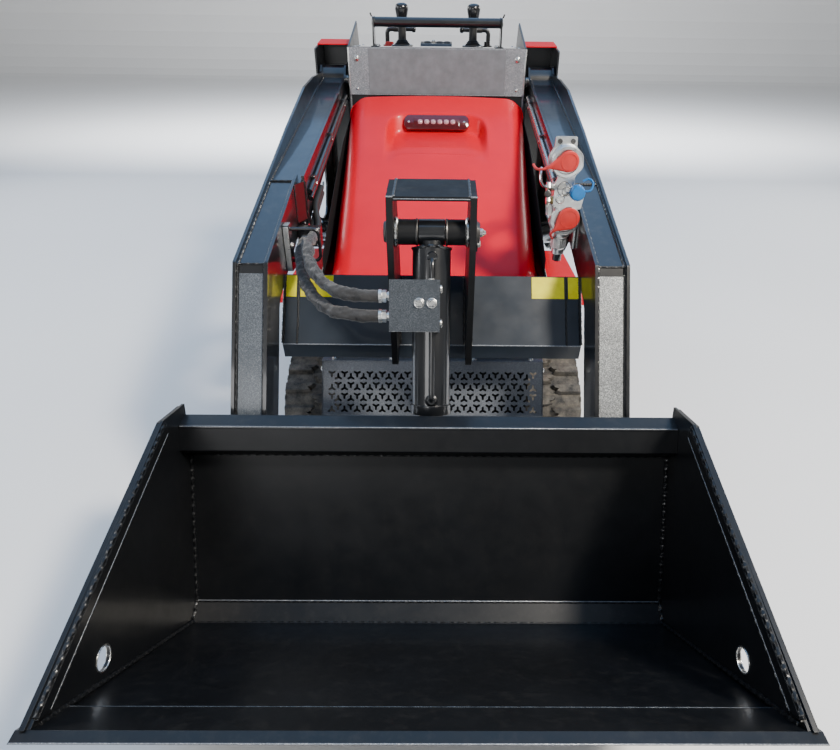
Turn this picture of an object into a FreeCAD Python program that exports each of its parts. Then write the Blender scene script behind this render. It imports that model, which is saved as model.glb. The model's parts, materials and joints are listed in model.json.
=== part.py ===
import FreeCAD, Part
import math, os, re
from FreeCAD import Vector, Placement, Rotation

# Mini skid steer loader, stand-on type, with rubber tracks, lift arms and a bucket.
# Millimetres.  +Z up, the bucket points towards -Y, +X is the operator's left
# (the machine's left side), the origin is on the floor under the middle of the
# bounding box.  Stations along the machine are measured from a datum plane that
# stands "datum_y" from the origin, so the tables below read in datum stations.

doc = FreeCAD.newDocument("MiniLoader")
sheet = doc.addObject("Spreadsheet::Sheet", "Dims")

# alias, value, what it is
DIMS = [
    ("datum_y", -50, "datum plane's place along Y"),
    ("sheet_t", 6, "thin plate"),
    ("plate_t", 8, "arm and frame plate"),
    ("heavy_t", 15, "tilt bracket plate"),
    ("track_in", 300, "track inner face"),
    ("track_out", 480, "track outer face"),
    ("lug_pitch", 72, "track lug pitch"),
    ("lug_high", 18, "track lug height"),
    ("belt_t", 22, "track belt thickness"),
    ("tub_half", 285, "frame tub half width"),
    ("belly_z", 130, "underside of the tub"),
    ("deck_z", 500, "top of the deck flanges"),
    ("side_in", 350, "side plate inner face"),
    ("side_out", 357, "side plate outer face"),
    ("tower_in", 479, "tower outer plate, inner face"),
    ("tower_out", 486, "tower outer plate, outer face"),
    ("hood_half", 344, "hood half width at the rear"),
    ("hood_nose_half", 320, "hood half width at the nose"),
    ("hood_t", 5, "hood skin"),
    ("arm_out", 474, "arm outer face"),
    ("arm_rear_in", 370, "arm inner face, rear section"),
    ("arm_leg_in", 390, "arm inner face, front section and leg"),
    ("bracket_half", 100, "tilt bracket half width"),
    ("bucket_half", 540, "bucket side plates' outer face"),
    ("bucket_in", 534, "bucket inner half width"),
    ("edge_half", 555, "cutting edge half width"),
    ("pin_r", 20, "hinge pin radius"),
    ("pin_run", 0.05, "running clearance on radius"),
    ("lift_pin_r", 15, "lift cylinder pin radius"),
    ("lift_barrel_r", 32, "lift cylinder barrel radius"),
    ("lift_rod_r", 17, "lift cylinder rod radius"),
    ("tilt_barrel_r", 44, "tilt cylinder barrel radius"),
    ("tilt_rod_r", 20, "tilt cylinder rod radius"),
    ("engine_half", 190, "engine block half width"),
    ("bar_r", 17.5, "reference bar radius"),
    ("tube_r", 30, "lower cross tube radius"),
    ("hose_r", 14, "sleeved hose radius"),
]
sheet.set("A1", "dimension")
sheet.set("B1", "value")
sheet.set("C1", "meaning")
for i, (alias, value, note) in enumerate(DIMS):
    sheet.set("A%d" % (i + 2), alias)
    sheet.set("B%d" % (i + 2), str(value))
    sheet.setAlias("B%d" % (i + 2), alias)
    sheet.set("C%d" % (i + 2), note)
doc.recompute()
V = {alias: float(sheet.get(alias)) for alias, value, note in DIMS}
DY = V["datum_y"]
NODES = []


def expr(text):
    """Aliases in a sum become cells of the sheet."""
    return re.sub(r"[a-z_]+", lambda w: "Dims." + w.group(0), str(text))


def node(obj, label):
    obj.Label = label
    NODES.append(obj)
    return obj


def add(a, b, k=1.0):
    return (a[0] + k * b[0], a[1] + k * b[1])


def unit(a, b):
    d = math.hypot(b[0] - a[0], b[1] - a[1])
    return ((b[0] - a[0]) / d, (b[1] - a[1]) / d)


def offset_line(points, dist, closed=False):
    """Mitred parallel of a polyline or loop, dist to the left of its run."""
    n, out = len(points), []
    for i in range(n):
        p = points[i]
        if closed or i > 0:
            u = unit(points[i - 1], p)
        else:
            u = unit(p, points[1])
        w = unit(p, points[(i + 1) % n]) if closed or i < n - 1 else u
        bx, by = -(u[1] + w[1]), u[0] + w[0]
        k = dist / (1 + u[0] * w[0] + u[1] * w[1])
        out.append((p[0] + bx * k, p[1] + by * k))
    return out


def strip(points, t):
    """Closed outline of a folded plate of thickness t left of the line."""
    return points + offset_line(points, t)[::-1]


def segments(loop):
    """Loop of (u, v) or (u, v, corner radius) as lines and arcs."""
    n, cut = len(loop), []
    for i in range(n):
        a, p, b = loop[i - 1], loop[i], loop[(i + 1) % n]
        r = p[2] if len(p) > 2 else 0
        u, w = unit(p, a), unit(p, b)
        c = max(-1, min(1, u[0] * w[0] + u[1] * w[1]))
        half = math.acos(c) / 2
        if r <= 0 or half > math.pi / 2 - 0.01:
            cut.append((p[:2], p[:2], None))
            continue
        t = r / math.tan(half)
        s, e = add(p, u, t), add(p, w, t)
        m = (u[0] + w[0], u[1] + w[1])
        k = (r / math.sin(half)) / math.hypot(*m)
        cut.append((s, e, (add(p, m, k), r)))
    out = []
    for i in range(n):
        s, e, arc = cut[i]
        if arc:
            a0 = math.atan2(s[1] - arc[0][1], s[0] - arc[0][0])
            a1 = math.atan2(e[1] - arc[0][1], e[0] - arc[0][0])
            if (a1 - a0) % (2 * math.pi) > math.pi:
                a0, a1 = a1, a0
            out.append(("arc", arc[0], arc[1], a0, a1))
        nxt = cut[(i + 1) % n][0]
        if math.hypot(nxt[0] - e[0], nxt[1] - e[1]) > 1e-6:
            out.append(("line", e, nxt))
    return out


def body(name):
    b = doc.addObject("PartDesign::Body", name)
    if hasattr(b, "AllowCompound"):
        b.AllowCompound = True
    return b


def pad(b, plane, loops, lo, hi, cut=False):
    """Pad (or pocket) loops on a plane of the body's origin, from lo to hi
    along +X (YZ), +Y (XZ) or +Z (XY).  A loop is a list of points or a circle
    (u, v, r).  lo and hi are sums of the sheet's aliases."""
    k = len([o for o in b.Group if o.TypeId == "Sketcher::SketchObject"])
    sk = b.newObject("Sketcher::SketchObject", "%s_sketch%d" % (b.Name, k))
    support = [f for f in b.Origin.OriginFeatures if f.Role == plane][0]
    sk.AttachmentSupport = (support, [""])
    sk.MapMode = "FlatFace"
    at = "-(%s)" % expr(hi) if plane == "XZ_Plane" else expr(lo)
    sk.setExpression("AttachmentOffset.Base.z", at)
    for loop in loops:
        if isinstance(loop, tuple):
            sk.addGeometry(Part.Circle(Vector(loop[0], loop[1], 0), Vector(0, 0, 1), loop[2]))
            continue
        for s in segments(loop):
            if s[0] == "line":
                sk.addGeometry(Part.LineSegment(Vector(s[1][0], s[1][1], 0), Vector(s[2][0], s[2][1], 0)))
            else:
                sk.addGeometry(Part.ArcOfCircle(Part.Circle(Vector(s[1][0], s[1][1], 0), Vector(0, 0, 1), s[2]), s[3], s[4]))
    f = b.newObject("PartDesign::Pocket" if cut else "PartDesign::Pad", "%s_step%d" % (b.Name, k))
    f.Profile = sk
    if cut:
        f.Reversed = True
    f.setExpression("Length", "(%s) - (%s)" % (expr(hi), expr(lo)))
    sk.Visibility = False
    return f


def yz(points):
    """Datum stations to the part's frame."""
    return [(p[0] + DY,) + tuple(p[1:]) for p in points]


def ring(p, r):
    return (p[0] + DY, p[1], r)


def along_x(name, r, x0, x1, p):
    c = doc.addObject("Part::Cylinder", name)
    c.setExpression("Radius", expr(r))
    c.setExpression("Height", "(%s) - (%s)" % (expr(x1), expr(x0)))
    c.Placement = Placement(Vector(0, p[0] + DY, p[1]), Rotation(Vector(0, 1, 0), 90))
    c.setExpression("Placement.Base.x", expr(x0))
    return c


def rod_between(name, r, p, q, s0, s1, x=0.0):
    """Cylinder on the line p-q (datum stations), from s0 to s1 after p."""
    d = Vector(0, q[0] - p[0], q[1] - p[1])
    d.normalize()
    c = doc.addObject("Part::Cylinder", name)
    c.setExpression("Radius", expr(r))
    c.Height = s1 - s0
    c.Placement = Placement(Vector(x, p[0] + DY, p[1]) + d * s0, Rotation(Vector(0, 0, 1), d))
    return c


def slab(name, size, p, q, s, side, x):
    """Box lying along p-q: size (across X, along the line, off the line), its
    low corner s along the line and side off it to the front, x across."""
    d = unit(p, q)
    n = (d[1], -d[0])
    bx = doc.addObject("Part::Box", name)
    bx.Length, bx.Width, bx.Height = size
    rot = Rotation(Vector(1, 0, 0), Vector(0, d[0], d[1]), Vector(0, -n[0], -n[1]), "XYZ")
    side += size[2]
    bx.Placement = Placement(Vector(x, p[0] + DY + d[0] * s + n[0] * side, p[1] + d[1] * s + n[1] * side), rot)
    return bx


def join(name, parts):
    f = doc.addObject("Part::MultiFuse", name)
    f.Shapes = parts
    f.Refine = False
    return f


def minus(name, base, tool):
    c = doc.addObject("Part::Cut", name)
    c.Base, c.Tool = base, tool
    return c


def mirror(name, source):
    m = doc.addObject("Part::Mirroring", name)
    m.Source = source
    m.Normal = Vector(1, 0, 0)
    m.Base = Vector(0, 0, 0)
    return m


def pair(left, stem):
    """The piece on +X is the machine's left one, its mirror the right one."""
    node(left, "left_" + stem)
    node(mirror("Right_" + stem, left), "right_" + stem)


# ---------------------------------------------------------------- points
# main pins, in datum stations (y, z)
ARM_PIN = (1025.0, 1035.0)      # arms on the towers
BUCKET_PIN = (-630.0, 212.0)    # bucket on the legs
TILT_PIN = (-395.0, 819.0)      # tilt cylinder on its bracket
TILT_EYE = (-613.0, 351.0)      # tilt rod on the bucket
LIFT_PIN = (790.0, 455.0)       # lift cylinder on the frame
LIFT_EYE = (60.0, 690.0)        # lift rod on the arm
HOOD_PIN = (-51.0, 480.0)       # hood hinge, inside its nose

# ---------------------------------------------------------------- frame tub
D, R, T = V["deck_z"], V["tub_half"], V["sheet_t"]
B0 = V["belly_z"]
tub = body("Tub")
pad(tub, "XZ_Plane", [[(-V["side_in"], D), (-V["side_in"], D - T), (-R, D - T), (-R, B0), (R, B0), (R, D - T),
                       (V["side_in"], D - T), (V["side_in"], D), (R - T, D), (R - T, B0 + T), (-R + T, B0 + T), (-R + T, D)]],
    "-40 + datum_y", "1110 + datum_y")
pad(tub, "XZ_Plane", [[(-R, B0), (R, B0), (R, 430), (R - T, 430), (R - T, B0 + T), (-R + T, B0 + T), (-R + T, 430), (-R, 430)]],
    "-200 + datum_y", "-40 + datum_y")
# front wall, shelf behind the guard, riser under the hood's nose, rear wall
for lo, hi, z0, z1 in [("-200", "-194", B0, 436), ("-200", "-40", 430, 436), ("-46", "-40", 430, D), ("1104", "1110", B0, D)]:
    pad(tub, "XZ_Plane", [[(-R, z0), (R, z0), (R, z1), (-R, z1)]], lo + " + datum_y", hi + " + datum_y")
# engine beds
for x in (-165, 165):
    pad(tub, "XZ_Plane", [[(x - 20, B0 + T), (x + 20, B0 + T), (x + 20, 330), (x - 20, 330)]], "320 + datum_y", "680 + datum_y")
node(tub, "chassis_frame")
node(along_x("HoodHinge", "5", "-280", "280", HOOD_PIN), "hood_hinge_tube")

engine = doc.addObject("Part::Box", "Engine")
engine.setExpression("Length", expr("engine_half + engine_half"))
engine.Width, engine.Height = 400, 300
engine.Placement = Placement(Vector(-V["engine_half"], 300 + DY, 330), Rotation())
node(engine, "engine_block")

# red deck strips on the flanges
deck = body("Deck")
for lo, hi in ((287, 348), (-348, -287)):
    pad(deck, "XY_Plane", [[(lo, -38 + DY), (hi, -38 + DY), (hi, 1103 + DY), (lo, 1103 + DY)]], "deck_z", "deck_z + 4")
# fenders outside the side plates, over the tracks
for lo, hi in ((357.2, 476), (-476, -357.2)):
    pad(deck, "XY_Plane", [[(lo, -38 + DY), (hi, -38 + DY), (hi, 440 + DY), (lo, 440 + DY)]], "deck_z", "deck_z + 4")
node(deck, "deck_strips")

# front guard: folded plate with side cheeks
guard = body("Guard")
GUARD = [(-200, 390), (-226, 390), (-304, 254), (-304, 140), (-200, 140)]   # outer face line
pad(guard, "YZ_Plane", [strip(yz(GUARD), 5)], "-320", "320")
for lo, hi in (("-320", "-315"), ("315", "320")):
    pad(guard, "YZ_Plane", [yz(GUARD)], lo, hi)
node(guard, "front_guard")

# ---------------------------------------------------------------- side plates and towers
side = body("SidePlate")
SIDE = [(-38, 500), (-38, 524, 12), (420, 640), (860, 800, 60), (940, 960), (945, 1150), (1120, 1176), (1120, 300), (960, 300, 60), (900, 420, 40), (700, 420, 40), (640, 500)]
pad(side, "YZ_Plane", [yz(SIDE), ring(ARM_PIN, 22.0), ring(LIFT_PIN, V["lift_pin_r"])], "side_in", "side_out")
pair(side, "side_plate")

tower = body("Tower")
FOOT = [(945, 1150, 6), (1120, 1176), (1120, 300), (1010, 300, 40), (900, 400, 40), (740, 400, 50), (740, 510, 50), (890, 520, 60), (945, 620)]
pad(tower, "YZ_Plane", [yz(FOOT), ring(ARM_PIN, 22.0), ring(LIFT_PIN, V["lift_pin_r"])], "tower_in", "tower_out")
pad(tower, "XZ_Plane", [[(V["side_out"], 300), (V["tower_in"], 300), (V["tower_in"], 1174), (V["side_out"], 1174)]], "1113 + datum_y", "1120 + datum_y")
pair(tower, "tower")

cover = body("TowerCover")
pad(cover, "YZ_Plane", [strip(yz([(1022, 1162), (1120.3, 1176.6), (1120.3, 1150)]), 4)], "side_in", "tower_out")
node(join("TowerCovers", [cover, mirror("TowerCoverRight", cover)]), "tower_covers")

pins = [along_x("ArmPin", "22", "side_in", "tower_out + 8", ARM_PIN), along_x("LiftPin", "lift_pin_r", "side_in", "tower_out + 6", LIFT_PIN)]
left_pins = join("PinsLeft", pins)
node(join("Pins", [left_pins, mirror("PinsRight", left_pins)]), "tower_pins")

# ---------------------------------------------------------------- console
console = body("Console")
CONSOLE = [(911, 870), (911, 1152), (1240, 1152), (1240, 1080), (1104, 870)]
pad(console, "YZ_Plane", [strip(yz(CONSOLE)[::-1], T)], "-343", "343")
node(console, "console_housing")
panel = body("Panel")
pad(panel, "XZ_Plane", [[(-349.5, 990), (349.5, 990), (349.5, 1158), (-349.5, 1158)]], "904.5 + datum_y", "910.5 + datum_y")
node(panel, "console_front_panel")
wings = body("Wings")
WING = [(911, 870), (911, 1158), (1200, 1245, 6), (1240, 1158, 10), (1240, 1080), (1104, 870)]
for lo, hi in (("343.5", "349.5"), ("-349.5", "-343.5")):
    pad(wings, "YZ_Plane", [yz(WING)], lo, hi)
node(wings, "console_side_wings")

BAR = (985.0, 1244.0)
bar = along_x("Bar", "bar_r", "-249", "249", BAR)
barends = body("BarEnds")
for lo, hi in (("249", "255"), ("-255", "-249")):
    pad(barends, "YZ_Plane", [yz([(955, 1158.2), (960, 1264, 12), (1008, 1264, 12), (1030, 1158.2)])], lo, hi)
node(join("RefBar", [bar, barends]), "reference_bar")

levers = []
for i, x in enumerate((-145, 145)):
    for j, (r1, r2, z0, z1) in enumerate([(34, 17, 1158.2, 1182), (16, 16, 1182, 1240), (20, 27, 1240, 1288), (27, 18, 1288, 1312)]):
        c = doc.addObject("Part::Cone" if r1 != r2 else "Part::Cylinder", "Lever%d_%d" % (i, j))
        if r1 != r2:
            c.Radius1, c.Radius2 = r1, r2
        else:
            c.Radius = r1
        c.Height = z1 - z0
        c.Placement = Placement(Vector(x, 1075 + DY, z0), Rotation())
        levers.append(c)
node(join("Levers", levers), "drive_levers")

handles = []
for i, (x0, x1) in enumerate([(-215, -95), (215, 95)]):
    post = doc.addObject("Part::Cylinder", "HandlePost%d" % i)
    post.Radius, post.Height = 11, 62
    post.Placement = Placement(Vector(x0, 1190 + DY, 1158.2), Rotation())
    grip = along_x("HandleGrip%d" % i, "11", min(x0, x1), max(x0, x1), (1190, 1220))
    cap = doc.addObject("Part::Sphere", "HandleCap%d" % i)
    cap.Radius = 13
    cap.Placement = Placement(Vector(x0, 1190 + DY, 1220), Rotation())
    handles += [post, grip, cap]
node(join("Handles", handles), "control_handles")

# ---------------------------------------------------------------- rear
rear = body("RearPanel")
pad(rear, "XZ_Plane", [[(-349, 500), (349, 500), (349, 869), (-349, 869)]], "1104 + datum_y", "1110 + datum_y")
node(rear, "rear_panel")
platform = body("Platform")
PLAT = [(1110, 300), (1110, 176), (1394, 176), (1394, 120)]
pad(platform, "YZ_Plane", [strip(yz(PLAT), T)], "-240", "240")
for lo, hi in (("234", "240"), ("-240", "-234")):
    pad(platform, "YZ_Plane", [yz([(1110, 178), (1396, 178), (1396, 120), (1160, 120, 20), (1110, 150)])], lo, hi)
node(platform, "operator_platform")
lugs = body("TieLugs")
for lo, hi in (("255", "270"), ("-270", "-255")):
    pad(lugs, "YZ_Plane", [yz([(1110, 330), (1160, 330, 25), (1175, 270, 25), (1150, 230, 20), (1110, 230)]), ring((1140, 280), 16)], lo, hi)
node(lugs, "tie_down_lugs")

# ---------------------------------------------------------------- tracks
# wheels of the track's path: (y, z, radius over the lugs)
WHEELS = [(-28.0, 120.0, 120.0), (480.0, 350.0, 130.0), (960.0, 120.0, 120.0)]


def belt(less):
    """Path around the wheels, less mm inside the lug tips: a list of
    (kind, start, end, centre, radius, angles), clockwise from the front."""
    ws = [(w[0] + DY, w[1], w[2] - less) for w in WHEELS]
    tang = []
    for i in range(3):
        a, b = ws[i], ws[(i + 1) % 3]
        d = math.hypot(b[0] - a[0], b[1] - a[1])
        base = math.atan2(b[1] - a[1], b[0] - a[0])
        th = base + math.acos((a[2] - b[2]) / d)
        tang.append(((a[0] + a[2] * math.cos(th), a[1] + a[2] * math.sin(th)), (b[0] + b[2] * math.cos(th), b[1] + b[2] * math.sin(th)), th))
    run = []
    for i in range(3):
        run.append(("line", tang[i][0], tang[i][1]))
        w, th0, th1 = ws[(i + 1) % 3], tang[i][2], tang[(i + 1) % 3][2]
        run.append(("arc", (w[0], w[1]), w[2], th0, (th0 - th1) % (2 * math.pi)))
    return run


def at_length(run, s):
    for seg in run:
        if seg[0] == "line":
            d = math.hypot(seg[2][0] - seg[1][0], seg[2][1] - seg[1][1])
            if s <= d:
                u = unit(seg[1], seg[2])
                return add(seg[1], u, s), (-u[1], u[0])
        else:
            d = seg[2] * seg[4]
            if s <= d:
                a = seg[3] - s / seg[2]
                return add(seg[1], (math.cos(a), math.sin(a)), seg[2]), (math.cos(a), math.sin(a))
        s -= d
    return at_length(run, 0.0)


def total(run):
    return sum(math.hypot(q[2][0] - q[1][0], q[2][1] - q[1][1]) if q[0] == "line" else q[2] * q[4] for q in run)


base = belt(V["lug_high"])
length = total(base)
count = int(round(length / V["lug_pitch"]))
pitch = length / count
outline = []
for i in range(count):
    # (share of the pitch, on the lug's top)
    for s, top in [(0.0, 0), (0.10, 1), (0.42, 1), (0.52, 0), (0.76, 0)]:
        p, n = at_length(base, (i + s) * pitch)
        outline.append(add(p, n, V["lug_high"] if top else 0.0))
outer = Part.makePolygon([Vector(V["track_in"], p[0], p[1]) for p in outline + outline[:1]])
inner_edges = []
for seg in belt(V["lug_high"] + V["belt_t"]):
    if seg[0] == "line":
        inner_edges.append(Part.makeLine(Vector(V["track_in"], *seg[1]), Vector(V["track_in"], *seg[2])))
    else:
        pts = [Vector(V["track_in"], seg[1][0] + seg[2] * math.cos(a), seg[1][1] + seg[2] * math.sin(a)) for a in (seg[3], seg[3] - seg[4] / 2, seg[3] - seg[4])]
        inner_edges.append(Part.Arc(*pts).toShape())
inner = Part.Wire(inner_edges)
track = doc.addObject("Part::Feature", "Track")
track.Shape = Part.Face(outer).cut(Part.Face(inner)).extrude(Vector(V["track_out"] - V["track_in"], 0, 0))
pair(track, "track")
print("track: %d lugs, pitch %.2f, path %.0f" % (count, pitch, length))

# idlers and rollers in two discs either side of the track frame, on axles
inside = V["lug_high"] + V["belt_t"] + 0.3
ROLLERS = [(-28.0, 120.0, 120.0 - inside), (960.0, 120.0, 120.0 - inside)] + [(y, 40.3 + 36, 36.0) for y in (180.0, 336.0, 492.0, 648.0, 804.0)]
discs = []
for i, (y, z, r) in enumerate(ROLLERS):
    discs.append(along_x("DiscIn%d" % i, str(r), "322", "364", (y, z)))
    discs.append(along_x("DiscOut%d" % i, str(r), "416", "458", (y, z)))
    discs.append(along_x("Axle%d" % i, "15", "318", "462", (y, z)))
pair(join("Rollers", discs), "idlers_and_rollers")

beam = body("TrackBeam")
pad(beam, "YZ_Plane", [yz([(-66, 96, 24), (-66, 150, 24), (120, 165), (380, 205), (580, 205), (810, 165), (998, 150, 24), (998, 96, 24), (880, 96), (840, 50), (144, 50), (52, 96)])] +
    [ring((y, z), 15.0) for y, z, r in ROLLERS], "368", "412")
pad(beam, "XY_Plane", [[(V["tub_half"], 420 + DY), (368, 420 + DY), (368, 540 + DY), (V["tub_half"], 540 + DY)]], "150", "200")
pair(beam, "track_frame")

drive = [along_x("DriveRim", "89.5", "340", "440", (480, 350)), along_x("DriveHub", "62", "tub_half", "452", (480, 350))]
pair(join("Drive", drive), "drive_sprocket")

# ---------------------------------------------------------------- arms
LEG = unit((-380, 739), (-694, 212))
NOR = (-LEG[1], LEG[0])                       # towards the rear
TIP = add(BUCKET_PIN, LEG, 55)
TOE = [add(TIP, NOR, 55) + (52,), add(TIP, NOR, -55) + (52,)]
# outline of the inner plates and the box: rear end, underside, elbow, leg, top
BOX = [(1000, 1062), (1085, 1060, 42), (1085, 972, 42), (960, 962), (571, 872), (-6, 716), (-325, 616, 60)] + TOE + [(-380, 739, 8), (-6, 853)]
# the outer plate stands higher behind the kink
HIGH = [(282, 948), (603, 1039, 40), (792, 1061), (955, 1066, 40), (985, 1094, 30), (1085, 1094, 50), (1085, 974, 50), (960, 962), (571, 872), (-6, 716), (-325, 616, 60)] + TOE + [(-380, 739, 8), (-6, 856)]
flat = [p[:2] for p in BOX]
arm = body("Arm")
pad(arm, "YZ_Plane", [yz(HIGH), ring(ARM_PIN, 22.0 + V["pin_run"]), ring(BUCKET_PIN, V["pin_r"] + V["pin_run"])], "arm_out - plate_t", "arm_out")
lower = [(20, 723), (-6, 716), (-325, 616, 60)] + TOE + [(-380, 739, 8), (-6, 853), (20, 859)]
pad(arm, "YZ_Plane", [yz(lower), ring(BUCKET_PIN, V["pin_r"] + V["pin_run"])], "arm_leg_in", "arm_leg_in + plate_t")
upper = [(955, 1052.5, 20), (985, 1094, 30), (1085, 1094, 50), (1085, 974, 50), (960, 962), (571, 872), (10, 720), (10, 856.5)]
pad(arm, "YZ_Plane", [yz(upper), ring(ARM_PIN, 22.0 + V["pin_run"])], "arm_rear_in", "arm_rear_in + plate_t")
# joggle between the two inner plates
pad(arm, "XY_Plane", [[(370, 12 + DY), (390, -40 + DY), (398, -40 + DY), (378, 22 + DY)]], "735", "842")
arm_boss = minus("ArmBosses", join("ArmBossSolid", [along_x("BossA", "56", "arm_rear_in + plate_t", "arm_out - plate_t", ARM_PIN), along_x("BossB", "50", "arm_leg_in + plate_t", "arm_out - plate_t", BUCKET_PIN)]),
                 join("ArmBossBore", [along_x("BoreA", "22 + pin_run", "arm_rear_in", "arm_out", ARM_PIN), along_x("BoreB", "pin_r + pin_run", "arm_leg_in", "arm_out", BUCKET_PIN)]))
ribbon = body("ArmCovers")
k0, k1 = "arm_leg_in + plate_t", "arm_out - plate_t"
# covers: (outline run of the box, from-to) as folded strips between the plates
E1 = offset_line(flat, -10, closed=True)
# indexes of E1: 0 top rear, 5 kink below, 6 elbow below, 7-8 toe, 9 elbow above, 10 kink above
cover_top = [add(E1[10], unit(E1[9], E1[10]), 8), E1[9], add(BUCKET_PIN, add(add((0, 0), NOR, -45), LEG, -20))]
cover_low = [add(BUCKET_PIN, add(add((0, 0), NOR, 45), LEG, -20)), E1[6], add(E1[5], unit(E1[6], E1[5]), 8)]
pad(ribbon, "YZ_Plane", [strip(yz(cover_top), 6)], k0, k1)
pad(ribbon, "YZ_Plane", [strip(yz(cover_low), 6)], k0, k1)
k2 = "arm_rear_in + plate_t"
pad(ribbon, "YZ_Plane", [strip(yz([E1[0], add(E1[10], unit(E1[0], E1[10]), 5)]), 6)], k2, k1)
pad(ribbon, "YZ_Plane", [strip(yz([add(E1[5], unit(E1[4], E1[5]), 5), E1[4], E1[3]]), 6)], k2, k1)
# lugs for the lift rod under the arm
for lo, hi in (("386", "396"), ("444", "454")):
    pad(ribbon, "YZ_Plane", [yz([(-10, 728.5), (150, 771.5), (110, 655, 30), (10, 655, 30)]), ring(LIFT_EYE, V["lift_pin_r"])], lo, hi)
pair(join("ArmWhole", [arm, ribbon, arm_boss]), "lift_arm")

cross = body("CrossMember")
pad(cross, "YZ_Plane", [strip(yz([(-205, 640), (-243, 657), (-355, 508), (-347, 466)]), 8)], "-arm_leg_in", "arm_leg_in")
node(cross, "arm_cross_member")
node(along_x("CrossTube", "tube_r", "-arm_leg_in", "arm_leg_in", (-532, 318)), "lower_cross_tube")

bracket = body("Bracket")
EARS = [(-432, 908, 8), (-320, 922, 8), (-262, 760), (-243, 657), (-355, 508), (-385, 482, 12), (-422, 482, 12), (-438, 640), (-448, 800, 60)]
for lo, hi in (("bracket_half - heavy_t", "bracket_half"), ("-bracket_half", "heavy_t - bracket_half")):
    pad(bracket, "YZ_Plane", [yz(EARS)], lo, hi)
pad(bracket, "YZ_Plane", [strip(yz([(-320, 922), (-432, 908)]), 10)], "heavy_t - bracket_half", "bracket_half - heavy_t")
tilt_pin = along_x("TiltPin", "29", "heavy_t - bracket_half", "-31", TILT_PIN)
tilt_pin_b = along_x("TiltPinB", "29", "31", "bracket_half - heavy_t", TILT_PIN)
tilt_pin_c = along_x("TiltPinC", "pin_r", "-bracket_half - 8", "bracket_half + 8", TILT_PIN)
node(join("BracketWhole", [bracket, tilt_pin, tilt_pin_b, tilt_pin_c]), "tilt_bracket")

# ---------------------------------------------------------------- auxiliary couplers and hose guide
# plate facing forward, two round couplers on it, a manifold behind it on the arm
PLATE = [(309, 993, 4), (363, 993, 4), (366, 965), (381, 936), (366, 905), (389.5, 900), (389.5, 760), (372, 745), (334, 745), (314, 765), (310, 830), (322, 900), (298, 920), (296, 945), (306, 965)]
aux = body("AuxPlate")
pad(aux, "XZ_Plane", [PLATE], "-150 + datum_y", "-142 + datum_y")
pad(aux, "XZ_Plane", [[(345, 836), (390, 836), (390, 756), (345, 756)]], "-142 + datum_y", "-64 + datum_y")
for k, (cx, cz) in enumerate([(338, 936), (349, 788)]):
    pad(aux, "XZ_Plane", [(cx, cz, 40)], "-178 + datum_y", "-150 + datum_y")
    pad(aux, "XZ_Plane", [(cx, cz, 20)], "-142 + datum_y", "-75 + datum_y")
node(aux, "aux_coupler_block")

# guide: a block on the arm's inner plate with a bent rod around the hoses
hoop = body("HoseGuide")
pad(hoop, "YZ_Plane", [yz([(-216, 778), (-184, 778), (-184, 655), (-216, 655)])], "-390", "-374")
pad(hoop, "XZ_Plane", [strip([(-374, 766), (-300, 766), (-300, 680), (-374, 680)], 9)], "-205 + datum_y", "-195 + datum_y")
node(hoop, "hose_guide")
bulk = body("Bulkhead")
pad(bulk, "XZ_Plane", [[(-390, 672), (-324, 672), (-324, 728), (-390, 728)]], "-60 + datum_y", "-30 + datum_y")
node(bulk, "hose_bulkhead")

# ---------------------------------------------------------------- bucket
tilt = unit((-671, 389), (-809, 77))          # down the back
FLOOR = unit((-855, 49), (-1300, 387))
SHELL = [(-659, 416), (-809, 77), (-855, 49), (-1215, 322)]
shell = body("BucketShell")
pad(shell, "YZ_Plane", [strip(yz([(-671, 389), (-809, 77), (-855, 49), (-1225, 330)])[::-1], 6)], "-bucket_in", "bucket_in")
node(shell, "bucket_shell")
UPN = (FLOOR[1], -FLOOR[0])                   # off the floor, into the bucket
edge = body("CuttingEdge")
LOW = add((-1225, 330), FLOOR, 1)
NOSE = add(add((-1300, 387), FLOOR, -14), UPN, 12)
pad(edge, "YZ_Plane", [yz([LOW, (-1300, 387), NOSE, add(LOW, UPN, 12)])], "-edge_half", "edge_half")
node(edge, "bucket_cutting_edge")
LOW2 = add(LOW, FLOOR, -0.5)
SIDEP = [add(NOSE, UPN, 0.2), (-750, 535, 10), (-650, 511), (-671, 389), (-809, 77), (-855, 49), LOW2, add(LOW2, UPN, 12.2)]
bside = body("BucketSide")
pad(bside, "YZ_Plane", [yz(SIDEP), ring((-1120, 311), 20)], "bucket_in", "bucket_half")
pair(bside, "bucket_side_plate")
topbar = body("BucketTopBar")
pad(topbar, "YZ_Plane", [yz([(-671, 389), (-719, 435, 4), (-698, 485, 4), (-659, 491, 4), (-640, 440)])], "-bucket_in", "bucket_in")
node(topbar, "bucket_top_bar")

BACK = unit((-803.5, 74.6), (-665.5, 386.6))
REAR = (BACK[1], -BACK[0])
hinge_ears = body("BucketEars")


def foot(p, s, off=0.0):
    """Point on the back's rear face nearest to p, s up along the face."""
    k = (p[0] + 803.5) * REAR[0] + (p[1] - 74.6) * REAR[1]
    return add(add(p, REAR, -k + off), BACK, s)


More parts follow.
